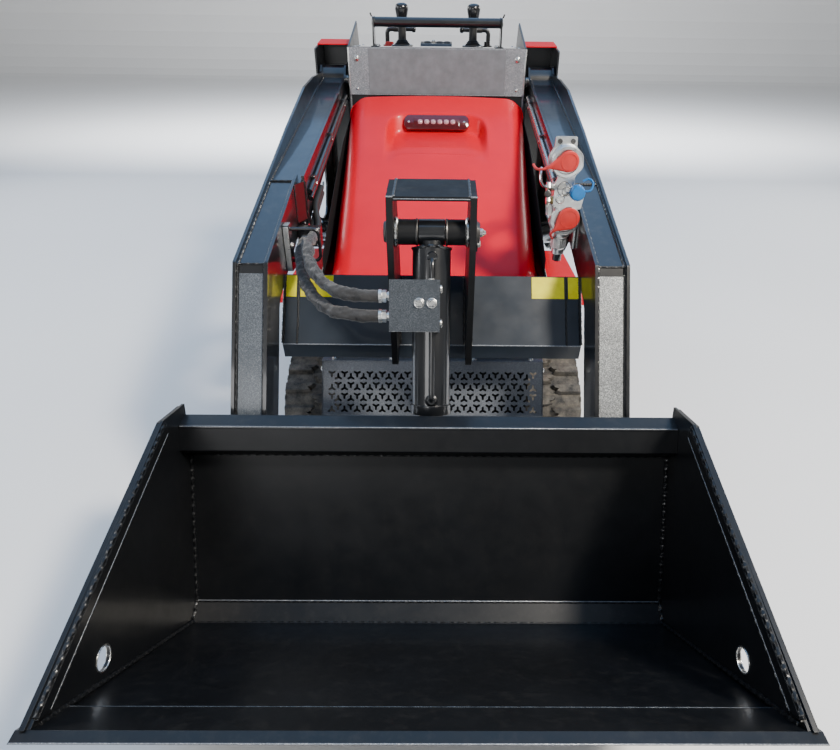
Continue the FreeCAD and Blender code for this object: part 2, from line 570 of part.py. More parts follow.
for lo, hi in (("365", "383"), ("-383", "-365")):
    q = BUCKET_PIN
    pad(hinge_ears, "YZ_Plane", [yz([foot(q, -95), foot(q, 110), add(add(q, REAR, 44), BACK, 44) + (42,), add(add(q, REAR, 44), BACK, -44) + (42,)]), ring(q, V["pin_r"])], lo, hi)
for lo, hi in (("34", "48"), ("-48", "-34")):
    q = TILT_EYE
    pad(hinge_ears, "YZ_Plane", [yz([foot(q, -80), foot(q, 55), add(add(q, REAR, 34), BACK, 34) + (32,), add(add(q, REAR, 34), BACK, -34) + (32,)])], lo, hi)
node(hinge_ears, "bucket_hinge_ears")
bp = along_x("BucketPin", "pin_r", "365", "arm_out + 8", BUCKET_PIN)
node(join("BucketPins", [bp, mirror("BucketPinRight", bp)]), "bucket_hinge_pins")

# ---------------------------------------------------------------- tilt cylinder
L0 = math.hypot(TILT_PIN[0] - TILT_EYE[0], TILT_PIN[1] - TILT_EYE[1])
tb = join("TiltBarrelSolid", [rod_between("TiltTube", "tilt_barrel_r", TILT_PIN, TILT_EYE, 45, 405), along_x("TiltEnd", "40", "-30", "30", TILT_PIN), rod_between("TiltNeck", "26", TILT_PIN, TILT_EYE, 10, 60)])
tc = join("TiltBore", [rod_between("TiltInside", "tilt_rod_r + pin_run", TILT_PIN, TILT_EYE, 100, 410), along_x("TiltPinBore", "pin_r + pin_run", "-31", "31", TILT_PIN)])
node(minus("TiltBarrel", tb, tc), "tilt_cylinder_barrel")
node(slab("ValveBlock", (112, 113, 31), TILT_PIN, TILT_EYE, 113, 44.5, -92), "tilt_valve_block")
TD = unit(TILT_PIN, TILT_EYE)
TN = (TD[1], -TD[0])
FIT_A, FIT_B = [add(add(TILT_PIN, TD, q), TN, 60) for q in (149, 193)]
node(join("HoseFittings", [along_x("FittingA", "12", "-116", "-92", FIT_A), along_x("FittingB", "12", "-116", "-92", FIT_B)]), "tilt_hose_fittings")
tr = join("TiltRodWhole", [rod_between("TiltRod", "tilt_rod_r", TILT_PIN, TILT_EYE, L0 - 395, L0), along_x("TiltEye", "32", "-30", "30", TILT_EYE)])
node(tr, "tilt_cylinder_rod")

# ---------------------------------------------------------------- lift cylinders
LL = math.hypot(LIFT_PIN[0] - LIFT_EYE[0], LIFT_PIN[1] - LIFT_EYE[1])
lb = join("LiftBarrelSolid", [rod_between("LiftTube", "lift_barrel_r", LIFT_PIN, LIFT_EYE, 12, 690, 420), along_x("LiftEnd", "30", "395", "445", LIFT_PIN)])
lc = join("LiftBore", [rod_between("LiftInside", "lift_rod_r + pin_run", LIFT_PIN, LIFT_EYE, 60, 700, 420), along_x("LiftPinBore", "lift_pin_r + pin_run", "386", "454", LIFT_PIN)])
pair(minus("LiftBarrel", lb, lc), "lift_cylinder_barrel")
lr = join("LiftRodWhole", [rod_between("LiftRod", "lift_rod_r", LIFT_PIN, LIFT_EYE, LL - 687, LL, 420), along_x("LiftRodEye", "28", "400", "440", LIFT_EYE)])
pair(lr, "lift_cylinder_rod")

# ---------------------------------------------------------------- hood
PLAN = [(-V["hood_half"], 885 + DY), (V["hood_half"], 885 + DY), (V["hood_nose_half"], -62 + DY), (-V["hood_nose_half"], -62 + DY)]
TOP = [(885, 470), (885, 985), (733, 937, 200), (-62, 565, 110), (-62, 470)]
form = body("HoodForm")
pad(form, "YZ_Plane", [yz(TOP)], "-360", "360")
plan = body("HoodPlan")
pad(plan, "XY_Plane", [PLAN], "400", "1100")
solid = doc.addObject("Part::Common", "HoodSolid")
solid.Base, solid.Tool = form, plan
t = V["hood_t"]
IN = [(900, 400), (900, 985), (733, 937 - 1.1 * t, 195), (-62 + t, 565 - 0.6 * t, 105), (-62 + t, 400)]
hollow = body("HoodHollow")
pad(hollow, "YZ_Plane", [yz(IN)], "-360", "360")
plan2 = body("HoodPlanIn")
pad(plan2, "XY_Plane", [[(-V["hood_half"] + t, 900 + DY), (V["hood_half"] - t, 900 + DY), (V["hood_nose_half"] - t, -62 + t + DY), (-V["hood_nose_half"] + t, -62 + t + DY)]], "380", "1090")
void = doc.addObject("Part::Common", "HoodVoid")
void.Base, void.Tool = hollow, plan2
doc.recompute()


def round_top(obj, name, r):
    """Round the two long top edges of a hood solid."""
    picks = []
    for i, e in enumerate(obj.Shape.Edges):
        a, b = e.BoundBox, e
        upright = a.YLength < 0.5 and a.Center.y > -62 + DY + 8
        if abs(a.Center.x) > 300 and a.ZLength > 2 and not upright:
            picks.append((i + 1, r, r))
    f = doc.addObject("Part::Fillet", name)
    f.Base = obj
    f.Edges = picks
    return f


# the skirts stop above the deck, only the nose hangs in front of it
above = doc.addObject("Part::Box", "OverDeck")
above.Length, above.Width, above.Height = 800, 1000, 108
above.Placement = Placement(Vector(-400, -48 + DY, 400), Rotation())
skin = minus("HoodSkin", minus("HoodTrimmed", round_top(solid, "HoodOuter", 50), above), round_top(void, "HoodInner", 45))
# opening for the light bar, on the slope
lamp_p, lamp_q = (640.0, 893.3), (560.0, 855.9)
cutter = slab("LampHole", (226, 64, 60), lamp_p, lamp_q, 8, -35, -113)
node(minus("HoodWhole", skin, cutter), "hood")
lamp = join("Lamp", [slab("LampBody", (224, 62, 30), lamp_p, lamp_q, 9, -32, -112), slab("LampRim", (250, 90, 4), lamp_p, lamp_q, -5, -9.5, -125)])
node(lamp, "hood_light")

# ---------------------------------------------------------------- hoses to the tilt cylinder
# route points (x, datum station, z), from the fitting to the bulkhead
HOSES = [
    ("tilt_hose_upper", [(-116, FIT_A[0], FIT_A[1]), (-184, FIT_A[0], FIT_A[1]), (-250, -446, 708), (-300, -346, 726), (-326, -238, 744), (-342, -140, 709), (-342, -60, 709)]),
    ("tilt_hose_lower", [(-116, FIT_B[0], FIT_B[1]), (-186, FIT_B[0], FIT_B[1]), (-258, -466, 664), (-314, -364, 682), (-344, -252, 704), (-368, -146, 692), (-368, -60, 692)]),
]


def hose_path(points):
    """Straight runs joined by tangent arcs, each arc as large as its two runs
    allow: 0.45 of the shorter run over the tangent of half the turn."""
    pts = [Vector(p[0], p[1] + DY, p[2]) for p in points]
    edges, last, radii = [], pts[0], []
    for i in range(1, len(pts) - 1):
        u, w = pts[i] - pts[i - 1], pts[i + 1] - pts[i]
        lu, lw = u.Length, w.Length
        u.normalize()
        w.normalize()
        half = u.getAngle(w) / 2
        cutback = 0.45 * min(lu, lw)
        radii.append(cutback / math.tan(half))
        a, b = pts[i] - u * cutback, pts[i] + w * cutback
        bis = w - u
        bis.normalize()
        mid = pts[i] + bis * (radii[-1] / math.cos(half) - radii[-1])
        edges.append(Part.LineSegment(last, a).toShape())
        edges.append(Part.Arc(a, mid, b).toShape())
        last = b
    edges.append(Part.LineSegment(last, pts[-1]).toShape())
    runs = [(pts[i + 1] - pts[i]).Length for i in range(len(pts) - 1)]
    return Part.Wire(edges), radii, runs


for label, points in HOSES:
    wire, radii, runs = hose_path(points)
    start = wire.Edges[0].Vertexes[0].Point
    u = wire.Edges[0].tangentAt(wire.Edges[0].FirstParameter)
    ring_w = Part.Wire(Part.makeCircle(V["hose_r"], start, u))
    tube = wire.makePipeShell([ring_w], True, False)
    h = doc.addObject("Part::Feature", label)
    h.Shape = tube
    node(h, label)
    want = wire.Length * math.pi * V["hose_r"] ** 2
    print(label, "length %.0f" % wire.Length, "volume %.4f of section x length" % (tube.Volume / want), "radii", [round(r) for r in radii], "runs", [round(r) for r in runs])

# ---------------------------------------------------------------- hand-over
doc.recompute()
bad = []
for o in doc.Objects:
    if "Invalid" in o.State or "Error" in o.State:
        bad.append("%s (%s): %s" % (o.Name, o.Label, o.State))
for o in NODES:
    if o.Shape.isNull() or not o.Shape.isValid() or o.Shape.Volume < 1:
        bad.append("%s: shape" % o.Label)
if bad:
    raise RuntimeError("failed objects: " + "; ".join(bad))
if len({o.Label for o in NODES}) != len(NODES) or len(NODES) > 60:
    raise RuntimeError("node labels")
os.makedirs("parts", exist_ok=True)
for old in os.listdir("parts"):
    if old.endswith(".step") and old[:-5] not in {o.Label for o in NODES}:
        os.remove(os.path.join("parts", old))
total_box = FreeCAD.BoundBox()
for o in NODES:
    o.Shape.exportStep(os.path.join("parts", o.Label + ".step"))
    total_box.add(o.Shape.BoundBox)
    print("%-28s %2d solids %9.0f cm3" % (o.Label, len(o.Shape.Solids), o.Shape.Volume / 1000))
print("nodes", len(NODES), "box", [round(v, 1) for v in (total_box.XMin, total_box.XMax, total_box.YMin, total_box.YMax, total_box.ZMin, total_box.ZMax)])
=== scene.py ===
import bpy, bmesh, json, math, random
from mathutils import Vector, Matrix, noise


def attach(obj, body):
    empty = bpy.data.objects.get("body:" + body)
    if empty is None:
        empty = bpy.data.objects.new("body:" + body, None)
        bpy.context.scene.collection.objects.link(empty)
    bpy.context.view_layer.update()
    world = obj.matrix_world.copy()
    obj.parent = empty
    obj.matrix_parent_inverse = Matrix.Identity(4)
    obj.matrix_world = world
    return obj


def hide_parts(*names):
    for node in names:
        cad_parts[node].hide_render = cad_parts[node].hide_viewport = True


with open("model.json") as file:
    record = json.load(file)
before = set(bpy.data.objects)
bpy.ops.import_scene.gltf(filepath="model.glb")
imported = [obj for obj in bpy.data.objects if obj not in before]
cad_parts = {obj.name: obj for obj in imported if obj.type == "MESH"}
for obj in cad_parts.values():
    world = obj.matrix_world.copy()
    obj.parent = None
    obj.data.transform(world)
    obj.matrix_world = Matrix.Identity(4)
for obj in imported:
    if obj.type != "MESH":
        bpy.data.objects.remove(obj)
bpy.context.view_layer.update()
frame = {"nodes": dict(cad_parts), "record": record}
rnd = random.Random(7)
DY = -50.0                       # datum stations to the part's frame, mm


def P(x, y, z):
    """Point given in millimetres at a datum station."""
    return Vector((x / 1000, (y + DY) / 1000, z / 1000))


# ---------------------------------------------------------------- camera
th, yaw, roll = math.radians(30.0), math.radians(0.665), math.radians(0.771)
fwd = Vector((math.sin(yaw) * math.cos(th), math.cos(yaw) * math.cos(th), -math.sin(th)))
side = Vector((math.cos(yaw), -math.sin(yaw), 0))
up = side.cross(fwd)
r2 = math.cos(roll) * side + math.sin(roll) * up
u2 = -math.sin(roll) * side + math.cos(roll) * up
cam_data = bpy.data.cameras.new("Camera")
cam = bpy.data.objects.new("Camera", cam_data)
bpy.context.scene.collection.objects.link(cam)
cam.matrix_world = Matrix(((r2.x, u2.x, -fwd.x, 0.022), (r2.y, u2.y, -fwd.y, -1.801), (r2.z, u2.z, -fwd.z, 1.224), (0, 0, 0, 1)))
cam_data.sensor_width = 36.0
cam_data.lens = 25.714
cam_data.shift_x = -0.0314
cam_data.clip_start = 0.02
bpy.context.scene.camera = cam


# ---------------------------------------------------------------- materials
class Mat:
    """A node material with a Principled shader and object coordinates."""

    def __init__(self, name, base, rough=0.4, metal=0.0, coat=0.0, coat_rough=0.06, spec=0.5):
        self.m = bpy.data.materials.new(name)
        self.m.use_nodes = True
        self.nt = self.m.node_tree
        self.b = [n for n in self.nt.nodes if n.type == "BSDF_PRINCIPLED"][0]
        self.b.inputs["Base Color"].default_value = (*base, 1)
        self.b.inputs["Roughness"].default_value = rough
        self.b.inputs["Metallic"].default_value = metal
        self.b.inputs["Coat Weight"].default_value = coat
        self.b.inputs["Coat Roughness"].default_value = coat_rough
        self.b.inputs["Specular IOR Level"].default_value = spec
        self.tc = self.nt.nodes.new("ShaderNodeTexCoord")
        self.normal = None
        self.base = base

    def new(self, kind, **vals):
        n = self.nt.nodes.new(kind)
        for k, v in vals.items():
            if hasattr(n, k):
                setattr(n, k, v)
            else:
                n.inputs[k].default_value = v
        return n

    def link(self, a, b):
        self.nt.links.new(a, b)

    def noise(self, scale, detail=3.0, rough=0.55, stretch=None):
        n = self.new("ShaderNodeTexNoise", Scale=scale, Detail=detail, Roughness=rough)
        src = self.tc.outputs["Object"]
        if stretch:
            mp = self.new("ShaderNodeMapping")
            mp.inputs["Scale"].default_value = stretch
            self.link(src, mp.inputs["Vector"])
            src = mp.outputs["Vector"]
        self.link(src, n.inputs["Vector"])
        return n.outputs["Fac"]

    def cells(self, scale, feature="F1"):
        n = self.new("ShaderNodeTexVoronoi", Scale=scale, feature=feature)
        self.link(self.tc.outputs["Object"], n.inputs["Vector"])
        return n

    def ramp(self, fac, a, b, lo=0.0, hi=1.0):
        n = self.new("ShaderNodeMapRange")
        n.inputs["From Min"].default_value = a
        n.inputs["From Max"].default_value = b
        n.inputs["To Min"].default_value = lo
        n.inputs["To Max"].default_value = hi
        self.link(fac, n.inputs["Value"])
        return n.outputs["Result"]

    def mul(self, a, b):
        n = self.new("ShaderNodeMath", operation="MULTIPLY")
        self.link(a, n.inputs[0])
        if isinstance(b, (int, float)):
            n.inputs[1].default_value = b
        else:
            self.link(b, n.inputs[1])
        return n.outputs[0]

    def mix(self, fac, a, b):
        n = self.new("ShaderNodeMix", data_type="RGBA")
        self.link(fac, n.inputs["Factor"])
        for i, c in ((6, a), (7, b)):
            if isinstance(c, tuple):
                n.inputs[i].default_value = (*c, 1)
            else:
                self.link(c, n.inputs[i])
        return n.outputs[2]

    def color(self, out):
        self.link(out, self.b.inputs["Base Color"])

    def rough(self, out):
        self.link(out, self.b.inputs["Roughness"])

    def bump(self, height, strength=0.3, dist=0.001):
        n = self.new("ShaderNodeBump", Strength=strength, Distance=dist)
        self.link(height, n.inputs["Height"])
        if self.normal is not None:
            self.link(self.normal, n.inputs["Normal"])
        self.normal = n.outputs["Normal"]
        self.link(self.normal, self.b.inputs["Normal"])

    def edge(self, r):
        n = self.new("ShaderNodeBevel", samples=4)
        n.inputs["Radius"].default_value = r
        self.normal = n.outputs["Normal"]
        self.link(self.normal, self.b.inputs["Normal"])

    def up(self, lo=0.2, hi=0.9):
        """1 on faces that look up, where dust settles."""
        g = self.new("ShaderNodeNewGeometry")
        s = self.new("ShaderNodeSeparateXYZ")
        self.link(g.outputs["Normal"], s.inputs[0])
        return self.ramp(s.outputs["Z"], lo, hi)


def paint(name, base, dust=(0.10, 0.09, 0.08), dust_amt=0.10, rough=0.24, coat=1.0, coat_rough=0.05, grain=0.05, edge=0.0016, tint=0.25, scale=1.0, spec=0.5):
    """Powder-coated or sprayed metal: soft colour drift, dust that settles on
    top, fine texture in the coat and rounded edges that catch light."""
    m = Mat(name, base, rough, coat=coat, coat_rough=coat_rough, spec=spec)
    if edge:
        m.edge(edge)
    drift = m.noise(6 * scale, 3)
    c = m.mix(m.ramp(drift, 0.3, 0.7), tuple(v * (1 - tint) for v in base), tuple(min(1, v * (1 + tint)) for v in base))
    spots = m.mul(m.ramp(m.noise(38 * scale, 6, 0.7), 0.50, 0.72), m.up())
    c = m.mix(m.mul(spots, dust_amt * 3), c, dust)
    fine = m.ramp(m.noise(900, 2), 0.60, 0.72)
    c = m.mix(m.mul(fine, dust_amt), c, tuple(min(1, v * 2.2 + 0.02) for v in base))
    m.color(c)
    m.rough(m.ramp(m.noise(22 * scale, 4), 0.25, 0.8, rough * 0.88, rough * 1.28))
    m.bump(m.noise(420, 2), grain, 0.0006)
    m.bump(m.noise(34, 2), grain * 0.5, 0.0015)
    return m.m


def flake(name, base, hi, rough=0.38, metal=0.35, coat=0.3, size=520, edge=0.0016, amount=0.8):
    """Coarse speckled coat, like hammered or zinc-rich powder."""
    m = Mat(name, base, rough, metal=metal, coat=coat, coat_rough=0.12)
    if edge:
        m.edge(edge)
    v = m.cells(size)
    s = m.new("ShaderNodeSeparateColor")
    m.link(v.outputs["Color"], s.inputs[0])
    f = m.mul(m.ramp(s.outputs[0], 0.55, 0.95), amount)
    c = m.mix(f, base, hi)
    c = m.mix(m.ramp(m.noise(14, 4), 0.35, 0.75, 0.0, 0.35), c, tuple(v * 0.55 for v in base))
    m.color(c)
    m.rough(m.ramp(s.outputs[1], 0, 1, rough * 0.7, rough * 1.5))
    m.bump(v.outputs["Distance"], 0.25, 0.0005)
    return m.m


def metal(name, base, rough=0.3, scratch=True, dark=0.5, grime=0.35, edge=0.0008):
    m = Mat(name, base, rough, metal=1.0)
    if edge:
        m.edge(edge)
    c = m.mix(m.ramp(m.noise(55, 5, 0.65), 0.40, 0.75, 0.0, grime), base, tuple(v * dark for v in base))
    m.color(c)
    m.rough(m.ramp(m.noise(120, 4), 0.2, 0.8, rough * 0.7, rough * 1.5))
    if scratch:
        m.bump(m.noise(90, 2, 0.5, (1, 14, 14)), 0.06, 0.0004)
    m.bump(m.noise(700, 2), 0.05, 0.0003)
    return m.m


def plastic(name, base, rough=0.4, coat=0.0, bump=0.1, size=600, tint=0.15):
    m = Mat(name, base, rough, coat=coat, coat_rough=0.1)
    m.color(m.mix(m.ramp(m.noise(30, 4), 0.3, 0.75), tuple(v * (1 - tint) for v in base), tuple(min(1, v * (1 + tint)) for v in base)))
    m.rough(m.ramp(m.noise(60, 4), 0.2, 0.8, rough * 0.8, rough * 1.3))
    m.bump(m.noise(size, 3), bump, 0.0005)
    return m.m


BLACK = paint("black_coat", (0.0050, 0.0058, 0.0075), rough=0.32, coat=0.75, coat_rough=0.07, grain=0.05, dust_amt=0.05)
BUCKETM = paint("bucket_coat", (0.0042, 0.0048, 0.0060), rough=0.36, coat=0.30, coat_rough=0.14, grain=0.08, dust_amt=0.03, spec=0.35)
RED = paint("red_coat", (0.74, 0.0004, 0.0150), dust=(0.60, 0.10, 0.10), dust_amt=0.02, rough=0.36, coat=0.14, coat_rough=0.05, grain=0.015, tint=0.05, spec=0.20)
# black paint tinted blue-grey: the tint is a painted sky reflection
SKY_SHEEN_BLACK = paint("black_coat_painted_sky_sheen", (0.016, 0.024, 0.036), rough=0.32, coat=0.6, coat_rough=0.10, grain=0.05, dust_amt=0.03)
# speckled grey coat; also used for a thin line that is a painted highlight on the bucket's cutting-edge step
SPECK_AND_HIGHLIGHT = flake("grey_speckle_coat_and_painted_highlight", (0.040, 0.049, 0.060), (0.20, 0.22, 0.25), size=900, amount=0.5)
# grey zinc-coated plate; also used for thin pale strips and rods that are painted highlights on dark edges
PANEL_AND_HIGHLIGHT = flake("zinc_panel_coat_and_painted_highlight", (0.22, 0.24, 0.27), (0.75, 0.77, 0.80), rough=0.36, metal=0.35, size=700, amount=0.55)
GUARDM = flake("guard_coat", (0.135, 0.155, 0.190), (0.42, 0.45, 0.50), rough=0.40, metal=0.20, size=900, amount=0.45)
STEEL = metal("bright_zinc", (0.72, 0.72, 0.70), 0.26)
ZINC = metal("zinc_plate", (0.80, 0.81, 0.80), 0.30, grime=0.25)
BRASS = metal("brass", (0.62, 0.48, 0.24), 0.30)
CHROME = metal("hard_chrome", (0.80, 0.80, 0.81), 0.10, grime=0.12, edge=0)
DARKSTEEL = metal("dark_steel", (0.16, 0.155, 0.15), 0.42, grime=0.5)
RUBBER = plastic("hose_rubber", (0.018, 0.018, 0.018), 0.55, bump=0.2)
KNOB = plastic("knob_plastic", (0.010, 0.010, 0.011), 0.22, coat=0.5, bump=0.04)
GRIP = plastic("grip_rubber", (0.014, 0.014, 0.015), 0.5, bump=0.2)
REDCAP = plastic("red_cap", (0.62, 0.035, 0.030), 0.42, bump=0.08)
BLUECAP = plastic("blue_cap", (0.012, 0.17, 0.48), 0.35, bump=0.06)
YELLOW = plastic("yellow_film", (0.95, 0.80, 0.002), 0.36, coat=0.1, bump=0.02)
CAST = plastic("cast_grey", (0.055, 0.055, 0.056), 0.55, bump=0.5, size=240)
LENS = plastic("lamp_lens", (0.085, 0.002, 0.006), 0.12, coat=0.6, bump=0.02)
LED = plastic("lamp_dots", (0.55, 0.30, 0.33), 0.15, coat=1.0, bump=0.02)
BLANK = plastic("blank_plate", (0.17, 0.185, 0.205), 0.34, coat=0.25, bump=0.03)


def track_material():
    m = Mat("track_rubber", (0.07, 0.065, 0.058), 0.75)
    dirt = m.ramp(m.noise(26, 6, 0.7), 0.36, 0.66)
    c = m.mix(dirt, (0.022, 0.023, 0.025), (0.150, 0.136, 0.115))
    c = m.mix(m.ramp(m.noise(230, 5, 0.7), 0.55, 0.75, 0.0, 0.4), c, (0.24, 0.22, 0.19))
    m.color(c)
    m.rough(m.ramp(m.noise(80, 4), 0.2, 0.8, 0.6, 0.95))
    m.bump(m.noise(180, 6, 0.7), 0.5, 0.0012)
    return m.m


def sleeve_material():
    """Woven textile sleeve: two crossed fine waves over a worn grey-brown."""
    m = Mat("hose_sleeve", (0.040, 0.037, 0.034), 0.85)
    w = []
    for rot in (0.7, -0.7):
        mp = m.new("ShaderNodeMapping")
        mp.inputs["Rotation"].default_value = (rot, rot, rot)
        m.link(m.tc.outputs["Object"], mp.inputs["Vector"])
        t = m.new("ShaderNodeTexWave", Scale=260.0, Distortion=0.6)
        m.link(mp.outputs["Vector"], t.inputs["Vector"])
        w.append(t.outputs["Fac"])
    weave = m.mul(w[0], w[1])
    c = m.mix(m.ramp(m.noise(40, 5, 0.7), 0.3, 0.7), (0.010, 0.010, 0.011), (0.040, 0.040, 0.042))
    c = m.mix(m.mul(weave, 0.4), c, (0.070, 0.070, 0.073))
    m.color(c)
    m.b.inputs["Sheen Weight"].default_value = 0.3
    m.bump(weave, 0.35, 0.0006)
    m.bump(m.noise(90, 4, 0.6), 0.4, 0.002)
    return m.m


TRACK, SLEEVE = track_material(), sleeve_material()

FINISH = {"black_paint": BLACK, "red_paint": RED, "slate_paint": SKY_SHEEN_BLACK, "grey_plate": PANEL_AND_HIGHLIGHT, "pin_steel": STEEL, "edge_steel": BUCKETM,
          "chrome_rod": CHROME, "track_rubber": TRACK, "cast_wheel": CAST, "knob_plastic": KNOB, "lamp_plastic": LENS, "hose_sleeve": SLEEVE}
slot_of = {s["node"]: s["material_slot"] for s in frame["record"]["subparts"]}


def finish_node(name, m):
    ob = frame["nodes"][name]
    ob.data.materials.clear()
    ob.data.materials.append(m)


for name in frame["nodes"]:
    finish_node(name, FINISH[slot_of[name]])
for name in ("bucket_shell", "left_bucket_side_plate", "right_bucket_side_plate", "bucket_top_bar", "bucket_hinge_ears", "bucket_cutting_edge"):
    finish_node(name, BUCKETM)
DULL = paint("dull_black", (0.0045, 0.0050, 0.0062), rough=0.50, coat=0.12, coat_rough=0.25, grain=0.08, dust_amt=0.04, spec=0.28)
finish_node("tilt_bracket", DULL)
finish_node("tilt_valve_block", SPECK_AND_HIGHLIGHT)
finish_node("engine_block", CAST)

# ---------------------------------------------------------------- mesh kit
def flat_mesh(ob):
    """Modifiers into the mesh."""
    dg = bpy.context.evaluated_depsgraph_get()
    m = bpy.data.meshes.new_from_object(ob.evaluated_get(dg))
    ob.modifiers.clear()
    ob.data = m


class Kit:
    """Gathers small shapes into one mesh.  Points are in metres."""

    def __init__(self):
        self.v, self.f, self.m, self.mats = [], [], [], []

    def put(self, verts, faces, mat):
        if mat not in self.mats:
            self.mats.append(mat)
        k, i = len(self.v), self.mats.index(mat)
        self.v += [tuple(p) for p in verts]
        self.f += [tuple(k + j for j in f) for f in faces]
        self.m += [i] * len(faces)

    def emit(self, name, body, bevel=0.0, angle=35, replaces=()):
        me = bpy.data.meshes.new(name)
        me.from_pydata(self.v, [], self.f)
        for m in self.mats:
            me.materials.append(m)
        me.polygons.foreach_set("material_index", self.m)
        me.update()
        ob = bpy.data.objects.new(name, me)
        bpy.context.scene.collection.objects.link(ob)
        if bevel:
            b = ob.modifiers.new("bevel", "BEVEL")
            b.width, b.segments, b.limit_method, b.angle_limit = bevel, 2, "ANGLE", math.radians(30)
            flat_mesh(ob)
        ob.data.shade_smooth()
        ob.data.set_sharp_from_angle(angle=math.radians(angle))
        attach(ob, body)
        if replaces:
            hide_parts(*replaces)
        return ob

    def frame(self, d, ref=None):
        d = Vector(d).normalized()
        a = Vector(ref) if ref is not None else (Vector((1, 0, 0)) if abs(d.x) < 0.9 else Vector((0, 1, 0)))
        a = (a - d * a.dot(d)).normalized()
        return a, d.cross(a), d

    def lathe(self, p, d, prof, mat, seg=32, ref=None, ratio=1.0):
        """prof: (radius, height) along d from p; the ends close at radius 0 or are capped."""
        a, b, d = self.frame(d, ref)
        p = Vector(p)
        vs, fs = [], []
        for r, h in prof:
            for i in range(seg):
                t = 2 * math.pi * i / seg
                vs.append(p + d * h + a * (r * math.cos(t)) + b * (r * ratio * math.sin(t)))
        for j in range(len(prof) - 1):
            for i in range(seg):
                k = (i + 1) % seg
                fs.append((j * seg + i, j * seg + k, (j + 1) * seg + k, (j + 1) * seg + i))
        fs.append(tuple(range(seg))[::-1])
        fs.append(tuple((len(prof) - 1) * seg + i for i in range(seg)))
        self.put(vs, fs, mat)

    def rod(self, p, q, r, mat, seg=20, ch=0.0008):
        p, q = Vector(p), Vector(q)
        L = (q - p).length
        ch = min(ch, r * 0.4, L * 0.3)
        self.lathe(p, q - p, [(r - ch, 0), (r, ch), (r, L - ch), (r - ch, L)], mat, seg)

    def ringbar(self, p, d, r, t, mat, seg=40, sub=8):
        """Torus around p with axis d."""
        a, b, d = self.frame(d)
        p = Vector(p)
        vs, fs = [], []
        for i in range(seg):
            s = 2 * math.pi * i / seg
            u = a * math.cos(s) + b * math.sin(s)
            for j in range(sub):
                w = 2 * math.pi * j / sub
                vs.append(p + u * (r + t * math.cos(w)) + d * (t * math.sin(w)))
        for i in range(seg):
            for j in range(sub):
                i2, j2 = (i + 1) % seg, (j + 1) % sub
                fs.append((i * sub + j, i2 * sub + j, i2 * sub + j2, i * sub + j2))
        self.put(vs, fs, mat)

    def tube(self, pts, r, mat, seg=12, wob=None, cap=True, flat=1.0, ref=None):
        """Tube along points; wob(s, angle) multiplies the radius."""
        pts = [Vector(p) for p in pts]
        n = len(pts)
        vs, fs = [], []
        a = None
        s = 0.0
        for i, p in enumerate(pts):
            d = (pts[min(i + 1, n - 1)] - pts[max(i - 1, 0)]).normalized()
            if a is None:
                a, b, _ = self.frame(d, ref)
            a = (a - d * a.dot(d)).normalized()
            b = d.cross(a)
            if i:
                s += (p - pts[i - 1]).length
            for j in range(seg):
                t = 2 * math.pi * j / seg
                k = wob(s, t) if wob else 1.0
                vs.append(p + a * (r * k * math.cos(t)) + b * (r * k * flat * math.sin(t)))
        for i in range(n - 1):
            for j in range(seg):
                k = (j + 1) % seg
                fs.append((i * seg + j, i * seg + k, (i + 1) * seg + k, (i + 1) * seg + j))
        if cap:
            fs.append(tuple(range(seg))[::-1])
            fs.append(tuple((n - 1) * seg + i for i in range(seg)))
        self.put(vs, fs, mat)

    def bead(self, pts, mat, r=0.0035, step=0.0022, period=0.0075, seg=6):
        """Weld bead: overlapping scales along a line."""
        line = resample([Vector(p) for p in pts], step)
        ph = rnd.random() * 6
        self.tube(line, r, mat, seg, wob=lambda s, t: 0.82 + 0.22 * abs(math.sin(math.pi * s / period + ph)) + 0.10 * math.sin(s * 310 + t * 2 + ph))

    def bolt(self, p, d, r, mat, h=None, washer=True, kind="hex"):
        """Head that stands on p and looks along d."""
        h = h or r * 0.7
        p, d = Vector(p), Vector(d).normalized()
        if washer:
            self.lathe(p - d * 0.0005, d, [(r * 1.25, 0), (r * 1.3, 0.0004), (r * 1.3, 0.0016), (r * 1.2, 0.0021)], mat, 28)
            p = p + d * 0.0015
        if kind == "hex":
            self.lathe(p, d, [(r * 1.05, 0), (r * 1.05, h * 0.82), (r * 0.9, h)], mat, 6)
            self.lathe(p + d * h * 0.93, d, [(r * 0.80, 0), (r * 0.78, h * 0.09)], mat, 20)
        elif kind == "pan":
            prof = [(r, 0), (r, h * 0.35)] + [(r * math.cos(t), h * 0.35 + h * 0.65 * math.sin(t)) for t in (0.3, 0.6, 0.9, 1.2)]
            self.lathe(p, d, prof + [(r * 0.36, h * 0.98), (r * 0.30, h * 0.5)], mat, 24)
        elif kind == "cap":
            self.lathe(p, d, [(r, 0), (r, h * 0.9), (r * 0.92, h), (r * 0.55, h), (r * 0.52, h * 0.45)], mat, 24)

    def prism(self, loop, lo, hi, mat, axis="x"):
        """Outline (two coordinates, metres) extruded from lo to hi."""
        n = len(loop)
        area2 = sum(loop[i][0] * loop[(i + 1) % n][1] - loop[(i + 1) % n][0] * loop[i][1] for i in range(n))
        if area2 < 0:
            loop = loop[::-1]
        put = {"x": lambda u, v, w: (w, u, v), "y": lambda u, v, w: (u, w, v), "z": lambda u, v, w: (u, v, w)}[axis]
        vs = [put(u, v, lo) for u, v in loop] + [put(u, v, hi) for u, v in loop]
        fs = [tuple(range(n))[::-1], tuple(range(n, 2 * n))] + [(i, (i + 1) % n, n + (i + 1) % n, n + i) for i in range(n)]
        if axis == "y":
            fs = [f[::-1] for f in fs]
        self.put(vs, fs, mat)

